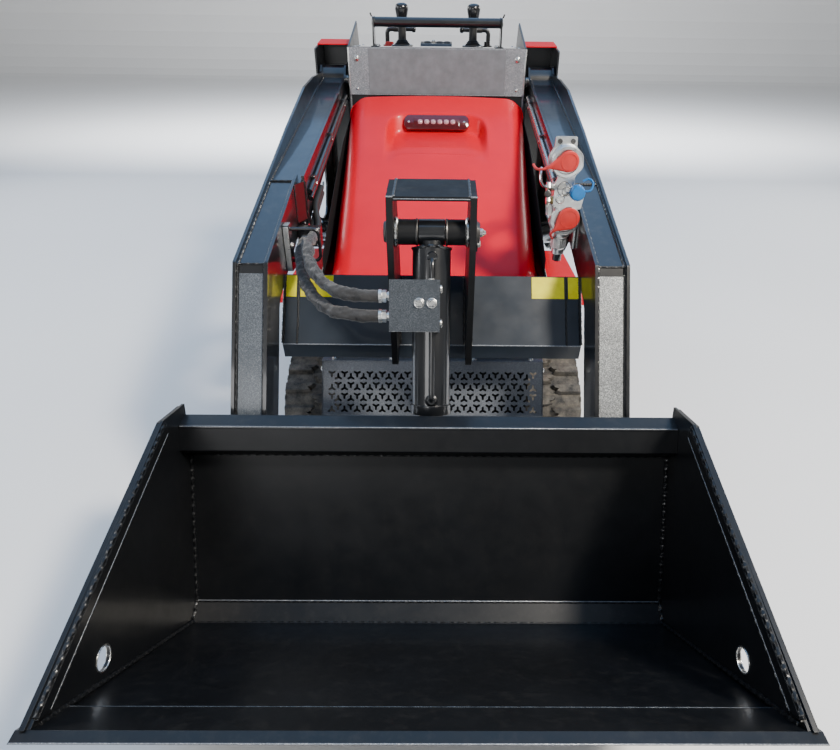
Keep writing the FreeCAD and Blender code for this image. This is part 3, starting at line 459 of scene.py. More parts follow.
    def block(self, c, size, mat, x=(1, 0, 0), y=(0, 1, 0), ch=0.001):
        """Chamfered box about c with its own axes."""
        x, y = Vector(x).normalized(), Vector(y).normalized()
        z = x.cross(y)
        c = Vector(c)
        h = [s / 2 for s in size]
        ch = min([ch] + [s * 0.9 for s in h])
        vs, idx = [], {}
        for sx in (-1, 1):
            for sy in (-1, 1):
                for sz in (-1, 1):
                    for k in range(3):
                        o = [sx * h[0], sy * h[1], sz * h[2]]
                        for j, s in enumerate((sx, sy, sz)):
                            if j != k:
                                o[j] -= s * ch
                        idx[(sx, sy, sz, k)] = len(vs)
                        vs.append(c + x * o[0] + y * o[1] + z * o[2])
        fs = []
        g = lambda a, k: idx[(a[0], a[1], a[2], k)]
        for k in range(3):
            i, j = [(1, 2), (2, 0), (0, 1)][k]
            for s in (-1, 1):
                q = []
                for a, b in ((-1, -1), (1, -1), (1, 1), (-1, 1)):
                    t = [0, 0, 0]
                    t[k], t[i], t[j] = s, a, b
                    q.append(g(t, k))
                fs.append(tuple(q if s > 0 else q[::-1]))
            for a, b in ((-1, -1), (1, -1), (1, 1), (-1, 1)):
                t0, t1 = [0, 0, 0], [0, 0, 0]
                t0[k], t1[k] = -1, 1
                t0[i] = t1[i] = a
                t0[j] = t1[j] = b
                q = (g(t0, i), g(t1, i), g(t1, j), g(t0, j))
                fs.append(q if a * b < 0 else q[::-1])
        for a in (-1, 1):
            for b in (-1, 1):
                for d in (-1, 1):
                    q = (g((a, b, d), 0), g((a, b, d), 1), g((a, b, d), 2))
                    fs.append(q if a * b * d > 0 else q[::-1])
        self.put(vs, fs, mat)


def resample(pts, step):
    out, rest = [pts[0]], 0.0
    for a, b in zip(pts, pts[1:]):
        L = (b - a).length
        n = max(1, int(round(L / step)))
        out += [a.lerp(b, (i + 1) / n) for i in range(n)]
    return out


def spline(pts, n=12):
    """Smooth line through points."""
    pts = [Vector(p) for p in pts]
    q = [pts[0] * 2 - pts[1]] + pts + [pts[-1] * 2 - pts[-2]]
    out = []
    for i in range(1, len(q) - 2):
        a, b, c, d = q[i - 1], q[i], q[i + 1], q[i + 2]
        for k in range(n):
            t = k / n
            out.append(0.5 * ((2 * b) + (c - a) * t + (2 * a - 5 * b + 4 * c - d) * t * t + (3 * b - a - 3 * c + d) * t ** 3))
    return out + [pts[-1]]


def rounded(loop, seg=5):
    """(u, v, radius) corners as a polygon."""
    out, n = [], len(loop)
    for i in range(n):
        a, p, b = Vector(loop[i - 1][:2]), Vector(loop[i][:2]), Vector(loop[(i + 1) % n][:2])
        r = loop[i][2] if len(loop[i]) > 2 else 0
        if not r:
            out.append(tuple(p))
            continue
        u, w = (a - p).normalized(), (b - p).normalized()
        half = math.acos(max(-1, min(1, u.dot(w)))) / 2
        t = r / math.tan(half)
        c = p + (u + w).normalized() * (r / math.sin(half))
        s, e = p + u * t - c, p + w * t - c
        a0, a1 = math.atan2(s.y, s.x), math.atan2(e.y, e.x)
        da = (a1 - a0 + math.pi) % (2 * math.pi) - math.pi
        out += [(c.x + r * math.cos(a0 + da * k / seg), c.y + r * math.sin(a0 + da * k / seg)) for k in range(seg + 1)]
    return out


def mm(loop):
    """(y', z[, r]) in mm to metres in the part's frame."""
    return [((p[0] + DY) / 1000, p[1] / 1000) + ((p[2] / 1000,) if len(p) > 2 else ()) for p in loop]


# ---------------------------------------------------------------- hoses to the tilt cylinder
FIT_A, FIT_B = (-512.3, 709.3), (-530.9, 669.4)
ROUTES = {
    "tilt_hose_upper": [(-116, *FIT_A), (-184, *FIT_A), (-250, -446, 708), (-300, -346, 726), (-326, -238, 744), (-342, -140, 709), (-342, -60, 709)],
    "tilt_hose_lower": [(-116, *FIT_B), (-186, *FIT_B), (-258, -466, 664), (-314, -364, 682), (-344, -252, 704), (-368, -146, 692), (-368, -60, 692)],
}


def route_line(name, pts):
    cu = bpy.data.curves.new(name + "_route", "CURVE")
    cu.dimensions = "3D"
    cu.resolution_u = 24
    sp = cu.splines.new("NURBS")
    sp.points.add(len(pts) - 1)
    for q, p in zip(sp.points, pts):
        q.co = (*P(*p), 1)
    sp.order_u = 3
    sp.use_endpoint_u = True
    ob = bpy.data.objects.new(name + "_route", cu)
    bpy.context.scene.collection.objects.link(ob)
    dg = bpy.context.evaluated_depsgraph_get()
    dg.update()
    me = bpy.data.meshes.new_from_object(ob.evaluated_get(dg))
    line = [v.co.copy() for v in me.vertices]
    bpy.data.objects.remove(ob)
    return line


for name, pts in ROUTES.items():
    line = route_line(name, pts)
    fine = resample(line, 0.0022)
    length = sum((b - a).length for a, b in zip(line, line[1:]))
    seed = 3.1 if "upper" in name else 9.7

    def crumple(s, t, seed=seed, length=length):
        """Soft folds and pinches of the loose sleeve around the hose."""
        ease = min(1, s / 0.03, (length - s) / 0.03)
        p = Vector((math.cos(t) * 0.9 + seed, math.sin(t) * 0.9, s * 26))
        q = Vector((math.cos(t) * 2.2 + seed, math.sin(t) * 2.2 + 5, s * 70))
        fold = 0.26 * noise.noise(p) + 0.17 * noise.noise(q) + 0.05 * noise.noise(q * 2.6)
        ridge = 0.10 * (1 - abs(noise.noise(Vector((math.cos(t) * 1.3, math.sin(t) * 1.3 + seed, s * 38)))) * 3)
        return 0.97 + ease * (fold + max(-0.05, ridge) * 0.9)

    k = Kit()
    k.tube(fine, 0.0140, SLEEVE, 28, wob=crumple)
    hose = k.emit(name + "_sleeve", "arms", angle=80, replaces=(name,))
    tuple(P(*pts[0]))
    [tuple(p) for p in line]

# ---------------------------------------------------------------- hood
HW = lambda y: 320 + 24 * (y + 62) / 947
SLOPE = 372 / 795.0


def hood_line():
    """Centre line of the hood from its rear edge over the nose."""
    pts = []
    # rear flat run blended into the slope, then slope, nose arc, front
    def top(y):
        z = 565 + (y + 62) * SLOPE
        return z - 0.00028 * max(0, y - 640) ** 2 * 0.62
    ys = [885, 881, 875, 868] + [860 - 8 * i for i in range(1, 9)]
    y = ys[-1]
    while y > 500:
        y -= 5.5
        ys.append(y)
    while y > 20:
        y -= 15
        ys.append(max(y, 8))
    for y in ys:
        z = top(y)
        if y > 860:
            z -= 9 * ((y - 860) / 25.0) ** 2
        pts.append((y, z))
    ca, r = math.atan(SLOPE), 110.0
    # nose arc tangent to the slope line and to the front plane y = -62
    cy = -62 + r
    cz = 565 + (cy + 62) * SLOPE - r / math.cos(ca)
    pts = [p for p in pts if p[0] > cy - r * math.sin(ca) + 6]
    for i in range(15):
        a = math.pi / 2 + ca + (math.pi / 2 - ca) * i / 14
        pts.append((cy + r * math.cos(a), cz + r * math.sin(a)))
    z = pts[-1][1]
    for i in range(1, 5):
        pts.append((-62, z + (509 - z) * i / 4))
    return pts


HL = hood_line()
SHR = 76.0


def recess(x, y):
    """How far the lamp's recess lies under the slope, mm."""
    ax = abs(x)
    ytop = 758.0 if ax < 104 else 758.0 - 96 * (1 - math.sqrt(max(0.0, 1 - ((ax - 104) / 92) ** 2)))
    yy = y + 758 - ytop
    if yy <= 512 or yy >= 762:
        return 0.0
    z0 = 565 + (yy + 62) * SLOPE
    knots = [(512, 832.4), (560, 848), (640, 861), (694, 870), (706, 876), (750, 944), (758, 951), (762, z0)]
    z = knots[-1][1]
    for (a, za), (b, zb) in zip(knots, knots[1:]):
        if a <= yy <= b:
            z = za + (zb - za) * (yy - a) / (b - a)
            break
    d = max(0.0, z0 - z)
    s = max(0.0, min(1.0, (193 - ax) / 34))
    return d * s * s * (3 - 2 * s)


def hood_shell():
    cols = []
    flat = [i / 56.0 for i in range(-56, 57)]
    vs, n_prof = [], len(HL)
    table = []
    for i, (y, z) in enumerate(HL):
        a, b = HL[max(i - 1, 0)], HL[min(i + 1, n_prof - 1)]
        t = Vector((b[0] - a[0], b[1] - a[1])).normalized()
        n = Vector((t.y, -t.x))          # outward: up and forward
        if n.y < -0.01:
            n = -n
        if i > n_prof - 6:
            n = Vector((-1, 0))
        hw = HW(y)
        w = hw - SHR
        row = []
        bottom = 509.0
        # left side up from the bottom edge
        crown = lambda x: 10.0 * (1 - (x / hw) ** 2) - 10
        side_n = 7
        def shoulder(sign, ph):
            x = sign * (w + SHR * math.sin(ph))
            d = SHR * (1 - math.cos(ph)) - crown(w) * math.cos(ph)
            return (x, y - n.x * d, z - n.y * d)
        phs = [math.pi / 2 * k / 12 for k in range(12, 0, -1)]
        lowpt = shoulder(-1, math.pi / 2)
        zb = min(bottom, lowpt[2])
        for k in range(side_n):
            f = k / side_n
            bulge = 3.0 * math.sin(math.pi * f)
            row.append((lowpt[0] - bulge * 0.3, lowpt[1], zb + (lowpt[2] - zb) * f))
        for ph in phs:
            row.append(shoulder(-1, ph))
        for u in flat:
            x = u * w
            d = -crown(x) + recess(x, y)
            row.append((x, y - n.x * d, z - n.y * d))
        for ph in phs[::-1]:
            row.append(shoulder(1, ph))
        highpt = shoulder(1, math.pi / 2)
        for k in range(side_n - 1, -1, -1):
            f = k / side_n
            bulge = 3.0 * math.sin(math.pi * f)
            row.append((highpt[0] + bulge * 0.3, highpt[1], zb + (highpt[2] - zb) * f))
        table.append(row)
    w = len(table[0])
    for row in table:
        vs += [P(*p) for p in row]
    fs = [(j * w + i, j * w + i + 1, (j + 1) * w + i + 1, (j + 1) * w + i) for j in range(len(table) - 1) for i in range(w - 1)]
    k = Kit()
    k.put(vs, fs, RED)
    me = bpy.data.meshes.new("hood_shell")
    me.from_pydata(k.v, [], [f[::-1] for f in k.f])
    me.materials.append(RED)
    ob = bpy.data.objects.new("hood_shell", me)
    bpy.context.scene.collection.objects.link(ob)
    bm = bmesh.new()
    bm.from_mesh(me)
    bmesh.ops.remove_doubles(bm, verts=bm.verts, dist=0.00005)
    bm.normal_update()
    up_face = max(bm.faces, key=lambda f: f.calc_area() if abs(f.calc_center_median().x) < 0.05 else 0)
    if up_face.normal.z < 0:
        bmesh.ops.reverse_faces(bm, faces=bm.faces)
    bm.to_mesh(me)
    bm.free()
    s = ob.modifiers.new("wall", "SOLIDIFY")
    s.thickness, s.offset = 0.004, -1
    flat_mesh(ob)
    ob.data.shade_smooth()
    ob.data.set_sharp_from_angle(angle=math.radians(50))
    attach(ob, "hood")
    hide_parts("hood")


hood_shell()
k = Kit()
# lamp on the recess's back wall: frame, lens, dots and two screws
LP0, LP1 = Vector((0, 706.0, 876.0)), Vector((0, 750.0, 944.0))
ld = (LP1 - LP0).normalized()
ln = Vector((0, -ld.z, ld.y))
lc = P(*((LP0 + LP1) / 2 + ln * 1.0))


def on_lamp(x, s, n):
    return lc + Vector((x, 0, 0)) / 1000 + ld * s / 1000 + ln * n / 1000


def lamp_plate(hx, hs, r, n0, n1, mat, ch=2.0):
    loop = rounded([(-hx, -hs, r), (hx, -hs, r), (hx, hs, r), (-hx, hs, r)], 6)
    small = rounded([(-hx + ch, -hs + ch, r - ch), (hx - ch, -hs + ch, r - ch), (hx - ch, hs - ch, r - ch), (-hx + ch, hs - ch, r - ch)], 6)
    vs = [on_lamp(x, s, n0) for x, s in loop] + [on_lamp(x, s, n1 - ch * 0.7) for x, s in loop] + [on_lamp(x, s, n1) for x, s in small]
    n = len(loop)
    fs = [tuple(range(n))[::-1], tuple(range(2 * n, 3 * n))]
    for a in range(2):
        fs += [(a * n + i, a * n + (i + 1) % n, (a + 1) * n + (i + 1) % n, (a + 1) * n + i) for i in range(n)]
    k.put(vs, fs, mat)


lamp_plate(124, 28, 22, -14, 6, LENS)
lamp_plate(88, 18, 5, 0, 7.6, LENS, 1.0)
for i in range(6):
    c = on_lamp(-62.5 + 25 * i, 0, 7.0)
    k.lathe(c, ln, [(0.0098, 0), (0.0096, 0.0008), (0.0078, 0.0030), (0.0046, 0.0044), (0.0016, 0.0049)], LED, 20)
    for j in range(4):
        k.lathe(on_lamp(-62.5 + 25 * i + 9.5 * math.cos(0.8 + j * 1.571), 9.5 * math.sin(0.8 + j * 1.571), 7.4), ln, [(0.0016, 0), (0.0010, 0.0010)], LED, 8)
for sx in (-106, 106):
    k.bolt(on_lamp(sx, 0, 5.5), ln, 0.0050, STEEL, washer=False, kind="pan")
k.emit("lamp_bar", "hood", angle=40, replaces=("hood_light",))
# nose skirt, latch plate and side handles
k = Kit()
k.block(P(0, -59, 490), (0.500, 0.005, 0.040), RED, ch=0.0015)
for sx in (-1, 1):
    k.block(P(sx * 349, 700, 640), (0.006, 0.110, 0.026), BLACK, ch=0.002)
    k.tube([P(sx * 349, 655, 640), P(sx * 352, 660, 640), P(sx * 352, 740, 640), P(sx * 349, 745, 640)], 0.004, BLACK, 10)
k.emit("hood_trim", "hood", angle=40)

# ---------------------------------------------------------------- front guard with its cut pattern
def cut_plate(name, outline, holes, t):
    """Flat plate with holes, in its own plane: a filled 2-D curve as a mesh."""
    cu = bpy.data.curves.new(name, "CURVE")
    cu.dimensions = "2D"
    cu.fill_mode = "BOTH"
    cu.extrude = t / 2
    for loop in [outline] + holes:
        sp = cu.splines.new("POLY")
        sp.points.add(len(loop) - 1)
        for q, p in zip(sp.points, loop):
            q.co = (p[0], p[1], 0, 1)
        sp.use_cyclic_u = True
    ob = bpy.data.objects.new(name, cu)
    bpy.context.scene.collection.objects.link(ob)
    dg = bpy.context.evaluated_depsgraph_get()
    dg.update()
    me = bpy.data.meshes.new_from_object(ob.evaluated_get(dg))
    bpy.data.objects.remove(ob)
    return [v.co.copy() for v in me.vertices], [tuple(p.vertices) for p in me.polygons]


def star(cx, cy, arm, w, flip):
    """Three round-ended arms at 120 degrees."""
    out = []
    for a in (90, 210, 330):
        t = math.radians(a + (180 if flip else 0))
        d, n = Vector((math.cos(t), math.sin(t))), Vector((-math.sin(t), math.cos(t)))
        c = Vector((cx, cy))
        tip = c + d * (arm - w / 2)
        root = c + d * (w / 2 / math.tan(math.radians(60)) * 1.0)
        out.append(tuple(root - n * w / 2))
        for k in range(7):
            q = -math.pi / 2 + math.pi * k / 6
            out.append(tuple(tip + d * (w / 2 * math.cos(q)) + n * (w / 2 * math.sin(q))))
    res = []
    for i in range(0, len(out), 8):
        res += out[i:i + 8]
    return res


k = Kit()
G = [(-203, 390), (-226, 390), (-304, 254), (-304, 140), (-203, 140)]


def guard_face(p, q, holes_rows, s_first):
    d = Vector((q[0] - p[0], q[1] - p[1]))
    L = d.length
    d = d / L
    n = Vector((-d.y, d.x))             # outward when p is above q: forward
    if n.x > 0:
        n = -n
    hs = []
    for j in range(holes_rows):
        s = s_first + 31.5 * j
        for i in range(-16, 17):
            x = i * 18.2
            flip = (i + j) % 2 == 0
            hs.append(star(x / 1000, -(s + (-5.2 if flip else 5.2)) / 1000, 0.0117, 0.0062, flip))
    vs, fs = cut_plate("guard_face", [(-0.3195, 0.0), (0.3195, 0.0), (0.3195, -L / 1000), (-0.3195, -L / 1000)], hs, 0.004)
    out = []
    for v in vs:
        yz_ = Vector(p) + d * (-v.y * 1000) - n * (2.0 - v.z * 1000)
        out.append(P(v.x * 1000, yz_.x, yz_.y))
    k.put(out, fs, GUARDM)


guard_face(G[1], G[2], 4, 43.0)
guard_face(G[2], G[3], 3, 24.0)
for a, b in ((G[0], G[1]), (G[3], G[4])):
    y0, y1 = min(a[0], b[0]), max(a[0], b[0])
    k.block(P(0, (y0 + y1) / 2, a[1] - (2 if a[1] > 200 else -2)), (0.639, (y1 - y0) / 1000, 0.004), GUARDM, ch=0.001)
for sx in (-1, 1):
    k.prism([((y + DY) / 1000, z / 1000) for y, z in G], (sx * 320 - (4 if sx > 0 else 0)) / 1000, (sx * 320 + (4 if sx < 0 else 0)) / 1000, GUARDM)
    for y, z in ((-222, 360), (-222, 170)):
        k.bolt(P(sx * 320, y, z), (sx, 0, 0), 0.007, STEEL, kind="pan")
for x in (-285, -120, 120, 285):
    k.bolt(P(x, -214, 390), (0, 0, 1), 0.006, STEEL, kind="pan")
k.bead([P(-318, -227, 390), P(318, -227, 390)], GUARDM, 0.0016)
k.emit("guard_plate", "chassis", angle=30, replaces=("front_guard",))

# ---------------------------------------------------------------- tracks
WHEELS = [(-28.0, 120.0, 120.0), (480.0, 350.0, 130.0), (960.0, 120.0, 120.0)]


def belt(less):
    ws = [(w[0], w[1], w[2] - less) for w in WHEELS]
    tang = []
    for i in range(3):
        a, b = ws[i], ws[(i + 1) % 3]
        d = math.hypot(b[0] - a[0], b[1] - a[1])
        t = math.atan2(b[1] - a[1], b[0] - a[0]) + math.acos((a[2] - b[2]) / d)
        tang.append(((a[0] + a[2] * math.cos(t), a[1] + a[2] * math.sin(t)), (b[0] + b[2] * math.cos(t), b[1] + b[2] * math.sin(t)), t))
    run = []
    for i in range(3):
        run.append(("line", tang[i][0], tang[i][1]))
        w, t0, t1 = ws[(i + 1) % 3], tang[i][2], tang[(i + 1) % 3][2]
        run.append(("arc", (w[0], w[1]), w[2], t0, (t0 - t1) % (2 * math.pi)))
    return run


def seg_len(q):
    return math.hypot(q[2][0] - q[1][0], q[2][1] - q[1][1]) if q[0] == "line" else q[2] * q[4]


def at_length(run, s):
    s = s % sum(seg_len(q) for q in run)
    for q in run:
        L = seg_len(q)
        if s <= L:
            if q[0] == "line":
                u = ((q[2][0] - q[1][0]) / L, (q[2][1] - q[1][1]) / L)
                return (q[1][0] + u[0] * s, q[1][1] + u[1] * s), (-u[1], u[0])
            a = q[3] - s / q[2]
            return (q[1][0] + math.cos(a) * q[2], q[1][1] + math.sin(a) * q[2]), (math.cos(a), math.sin(a))
        s -= L
    return at_length(run, 0)


BASE = belt(18.0)
LOOP = sum(seg_len(q) for q in BASE)
COUNT = int(round(LOOP / 72.0))
PITCH = LOOP / COUNT


def on_belt(s, x, h):
    """x across in mm, h above the belt's outer face."""
    p, n = at_length(BASE, s)
    return P(x, p[0] + n[0] * h, p[1] + n[1] * h)


def strip_loop(kit, sect, mat, n=None, s0=0.0, s1=None, closed=True):
    """Sweep a section [(x, h)] along the belt."""
    s1 = s1 if s1 is not None else LOOP
    n = n or int((s1 - s0) / 9)
    m = len(sect)
    vs, fs = [], []
    for i in range(n if closed else n + 1):
        s = s0 + (s1 - s0) * i / n
        vs += [on_belt(s, x, h) for x, h in sect]
    rows = n if closed else n
    for i in range(rows):
        for j in range(m):
            a, b = i * m, ((i + 1) % n if closed else i + 1) * m
            fs.append((a + j, a + (j + 1) % m, b + (j + 1) % m, b + j))
    if not closed:
        fs += [tuple(range(m))[::-1], tuple(n * m + j for j in range(m))]
    kit.put(vs, fs, mat)


for sx, nm in ((1, "left"), (-1, "right")):
    k = Kit()
    strip_loop(k, [(sx * 302, -20), (sx * 300, -17), (sx * 300, -4), (sx * 304, -1), (sx * 318, 0), (sx * 462, 0), (sx * 476, -1), (sx * 480, -4), (sx * 480, -17), (sx * 478, -20), (sx * 462, -21), (sx * 318, -21)], TRACK, 260)
    for i in range(COUNT):
        for half in (0, 1):
            s = (i + 0.10 + 0.5 * half) * PITCH
            xa, xb = ((301, 398), (382, 479))[half]
            # lug: foot and top outlines along (s, x), tapered and with a notch at its inner end
            inn, out_ = (xb, xa) if half == 0 else (xa, xb)
            dirn = 1 if inn > out_ else -1
            foot = [(0, out_), (0, inn - dirn * 26), (5, inn - dirn * 12), (12, inn - dirn * 20), (20, inn - dirn * 4), (30, inn), (34, inn - dirn * 6), (34, out_)]
            top = [(5, out_ + dirn * 2.5), (5, inn - dirn * 28), (9, inn - dirn * 17), (14, inn - dirn * 24), (20, inn - dirn * 11), (26, inn - dirn * 6), (28, inn - dirn * 10), (28, out_ + dirn * 2.5)]
            f2 = [on_belt(s + a, sx * x, -0.5) for a, x in foot]
            t2 = [on_belt(s + a, sx * x, 16.6) for a, x in top]
            t3 = [on_belt(s + a + (1.6 if a < 16 else -1.6), sx * (x + dirn * (1.6 if abs(x - out_) < 4 else -1.6)), 17.8) for a, x in top]
            n = len(foot)
            fs = [(j, (j + 1) % n, n + (j + 1) % n, n + j) for j in range(n)] + [(n + j, n + (j + 1) % n, 2 * n + (j + 1) % n, 2 * n + j) for j in range(n)] + [tuple(range(2 * n, 3 * n))]
            if sx * dirn > 0:
                fs = [f[::-1] for f in fs]
            k.put(f2 + t2 + t3, fs, TRACK)
        # rib between the lugs and bar ends at the belt's edges
        for e in (302.5, 477.5):
            s = (i + 0.30) * PITCH
            strip_loop(k, [(sx * (e - 2.4), -16), (sx * (e - 2.4), 1.5), (sx * (e + 2.4), 1.5), (sx * (e + 2.4), -16)], TRACK, 2, s, s + 16, closed=False)
    k.emit(nm + "_track_band", "chassis", angle=28, replaces=(nm + "_track",))

# idlers, rollers and sprockets
INSIDE = 40.3
for sx, nm in ((1, "left"), (-1, "right")):
    k = Kit()
    for y, z, r in [(-28.0, 120.0, 120.0 - INSIDE), (960.0, 120.0, 120.0 - INSIDE)]:
        r /= 1000
        for xa, xb in ((322, 364), (416, 458)):
            w = (xb - xa) / 1000
            o = 1 if xb > 400 else -1
            face = xb if o > 0 else xa
            p = P(sx * (xa if o > 0 else xb), y, z)
            k.lathe(p, (sx * o, 0, 0), [(0.018, 0), (r * 0.93, 0), (r, 0.003), (r, w - 0.003), (r - 0.004, w), (r * 0.84, w), (r * 0.80, w - 0.012), (r * 0.40, w - 0.014), (r * 0.36, w - 0.002), (0.018, w - 0.002)], CAST, 48)
            q = P(sx * face, y, z)
            k.lathe(q - Vector((sx * o * 0.003, 0, 0)), (sx * o, 0, 0), [(0.024, 0), (0.024, 0.005), (0.019, 0.008), (0.0, 0.009)], DARKSTEEL, 24)
            for j in range(5):
                a = j * 2 * math.pi / 5
                k.bolt(q + Vector((-sx * o * 0.0135, r * 0.6 * math.cos(a), r * 0.6 * math.sin(a))), (sx * o, 0, 0), 0.0065, DARKSTEEL)
        k.rod(P(sx * 318, y, z), P(sx * 462, y, z), 0.015, DARKSTEEL)
    for y in (180.0, 336.0, 492.0, 648.0, 804.0):
        for xa, xb in ((322, 364), (416, 458)):
            o = 1 if xb > 400 else -1
            p = P(sx * (xa if o > 0 else xb), y, 76.3)
            w = 0.042
            k.lathe(p, (sx * o, 0, 0), [(0.014, 0), (0.034, 0), (0.036, 0.002), (0.036, w - 0.002), (0.033, w), (0.026, w), (0.024, w - 0.006), (0.013, w - 0.006)], CAST, 36)
            k.lathe(P(sx * (xb if o > 0 else xa), y, 76.3) - Vector((sx * o * 0.006, 0, 0)), (sx * o, 0, 0), [(0.012, 0), (0.012, 0.005), (0.006, 0.0085), (0.0, 0.0088)], DARKSTEEL, 16)
        k.rod(P(sx * 318, y, 76.3), P(sx * 462, y, 76.3), 0.015, DARKSTEEL)
    k.emit(nm + "_wheels", "chassis", angle=30, replaces=(nm + "_idlers_and_rollers",))
    k = Kit()
    # sprocket: two toothed rings, hub, motor case and bolts
    for xa in (348, 420):
        loop = []
        teeth = 11
        for j in range(teeth * 8):
            a = 2 * math.pi * j / (teeth * 8)
            f = (j % 8) / 8
            rr = 88.5 if f < 0.38 else (80 if f in (0.5, 0.75, 0.625) else 84)
            loop.append(((480 + DY + rr * math.cos(a)) / 1000, (350 + rr * math.sin(a)) / 1000))
        a, b = sorted((sx * xa / 1000, sx * (xa + 12) / 1000))
        k.prism(loop, a, b, DARKSTEEL)
    c = P(0, 480, 350)
    ax = Vector((sx, 0, 0))
    k.lathe(c + ax * 0.285, ax, [(0.062, 0), (0.062, 0.030), (0.070, 0.032), (0.070, 0.060), (0.058, 0.064), (0.058, 0.136), (0.070, 0.139), (0.070, 0.146), (0.050, 0.148), (0.047, 0.158), (0.034, 0.166), (0.0, 0.167)], CAST, 48)
    for j in range(9):
        a = j * 2 * math.pi / 9
        k.bolt(c + ax * 0.432 + Vector((0, 0.0605 * math.cos(a), 0.0605 * math.sin(a))), ax, 0.006, STEEL)
    for j in range(4):
        a = j * math.pi / 2 + 0.6
        k.bolt(c + ax * 0.4435 + Vector((0, 0.040 * math.cos(a), 0.040 * math.sin(a))), ax, 0.0045, STEEL, washer=False, kind="cap")
    k.emit(nm + "_sprocket_wheel", "chassis", angle=30, replaces=(nm + "_drive_sprocket",))
    # track frame: tensioner, bolts and welds
    k = Kit()
    k.rod(P(sx * 390, 60, 190), P(sx * 390, 250, 196), 0.020, BLACK)
    k.rod(P(sx * 390, 20, 180), P(sx * 390, 70, 190), 0.012, CHROME)
    for y, z in ((430, 185), (530, 185), (430, 160), (530, 160)):
        k.bolt(P(sx * 412, y, z), (sx, 0, 0), 0.008, STEEL)
    k.bead([P(sx * 368, 422, 199), P(sx * 368, 538, 199)], BLACK, 0.004)
    k.emit(nm + "_track_frame_trim", "chassis")

# ---------------------------------------------------------------- arms: beads, seams, bolts
def off_line(points, dist):
    out, n = [], len(points)
    for i in range(n):
        p = Vector(points[i])
        u = (p - Vector(points[i - 1])).normalized() if i else (Vector(points[1]) - p).normalized()
        w = (Vector(points[i + 1]) - p).normalized() if i < n - 1 else u
        m = Vector((-(u.y + w.y), u.x + w.x))
        out.append(p + m * (dist / (1 + u.dot(w))))
    return out


LEGD = (Vector((-694, 212)) - Vector((-380, 739))).normalized()
TOPL = off_line([(1000, 1062), (-6, 853), (-380, 739), tuple(Vector((-380, 739)) + LEGD * 560)], -10.0)
TOPL = [p if p.y < 1070 else p for p in TOPL]
if TOPL[0].y > 1062:
    TOPL = off_line([(1000, 1062), (-6, 853), (-380, 739), tuple(Vector((-380, 739)) + LEGD * 560)], 10.0)
LOWL = off_line([(960, 962), (571, 872), (-6, 716), (-325, 616), tuple(Vector((-325, 616)) + LEGD * 430)], 10.0)
if LOWL[0].y < 962:
    LOWL = off_line([(960, 962), (571, 872), (-6, 716), (-325, 616), tuple(Vector((-325, 616)) + LEGD * 430)], -10.0)
for sx, nm in ((1, "left"), (-1, "right")):
    k = Kit()
    a0, a1, a2, a3 = TOPL
    for x in (399.5, 464.5):
        k.bead([P(sx * x, a1.x, a1.y + 1), P(sx * x, a2.x, a2.y + 1), P(sx * x, a3.x - 1, a3.y)], BLACK, 0.0042)
    k.bead([P(sx * 464.5, a0.x, a0.y + 1), P(sx * 464.5, a1.x, a1.y + 1)], BLACK, 0.0042)
    k.bead([P(sx * 379.5, a0.x, a0.y + 1), P(sx * 379.5, a1.x + 30, a1.y + 7)], BLACK, 0.0042)
    k.bead([P(sx * 400, a1.x, a1.y + 1.5), P(sx * 464, a1.x, a1.y + 1.5)], BLACK, 0.0036)
    k.bead([P(sx * 400, a2.x, a2.y + 1.0), P(sx * 464, a2.x, a2.y + 1.0)], BLACK, 0.0030)
    b = LOWL
    for x in (399.5, 464.5):
        k.bead([P(sx * x, q.x, q.y - 1) for q in b[2:]], BLACK, 0.0042)
    k.bead([P(sx * 464.5, q.x, q.y - 1) for q in b[:3]], BLACK, 0.0042)
    k.bead([P(sx * 379.5, q.x, q.y - 1) for q in b[:3]], BLACK, 0.0042)
    # joggle welds on the inner side
    k.bead([P(sx * 369.6, 12, 737), P(sx * 369.6, 12, 841)], BLACK, 0.003)
    k.bead([P(sx * 389.6, -40, 737), P(sx * 389.6, -40, 841)], BLACK, 0.003)
    # hinge pin heads and grease nipples
    for (y, z), r in (((1025, 1035), 0.034), ((-630, 212), 0.031)):
        q = P(sx * 474, y, z)
        k.lathe(q - Vector((sx * 0.001, 0, 0)), (sx, 0, 0), [(r + 0.006, 0), (r + 0.006, 0.0025), (r + 0.004, 0.004), (r + 0.001, 0.004), (r + 0.001, 0.002)], BLACK, 40)
    for y, z in ((1062, 1000), (-600, 262)):
        k.lathe(P(sx * 474, y, z), (sx, 0, 0), [(0.005, 0), (0.005, 0.003), (0.0032, 0.004), (0.0032, 0.008), (0.0018, 0.0105), (0.0, 0.011)], STEEL, 12)
    # lift-rod pin heads on the lugs
    for xa in (384.5, 455.5):
        k.lathe(P(sx * (xa if xa < 420 else xa - 1), 60, 690), (sx * (-1 if xa < 420 else 1), 0, 0), [(0.018, 0), (0.018, 0.004), (0.014, 0.006), (0.0, 0.006)], STEEL, 24)
    # hydraulic line with clamps under the arm's top edge, on its inner face
    zz = lambda y: 800 + (y - 10) * 0.215
    pts = [P(sx * 363.6, y, zz(y)) for y in (40, 300, 600, 880)]
    k.tube(resample(pts, 0.02), 0.0075, STEEL if sx > 0 else BLACK, 14)
    k.tube(resample([p - Vector((0, 0, 0.020)) for p in pts], 0.02), 0.0075, BLACK, 14)
    for y in (120, 460, 800):
        k.block(P(sx * 365, y, zz(y) - 10), (0.012, 0.024, 0.044), BLACK, ch=0.0015)
        k.bolt(P(sx * 359, y, zz(y) - 10), (-sx, 0, 0), 0.005, STEEL, washer=False)
    k.emit(nm + "_arm_trim", "arms", angle=40)

k = Kit()
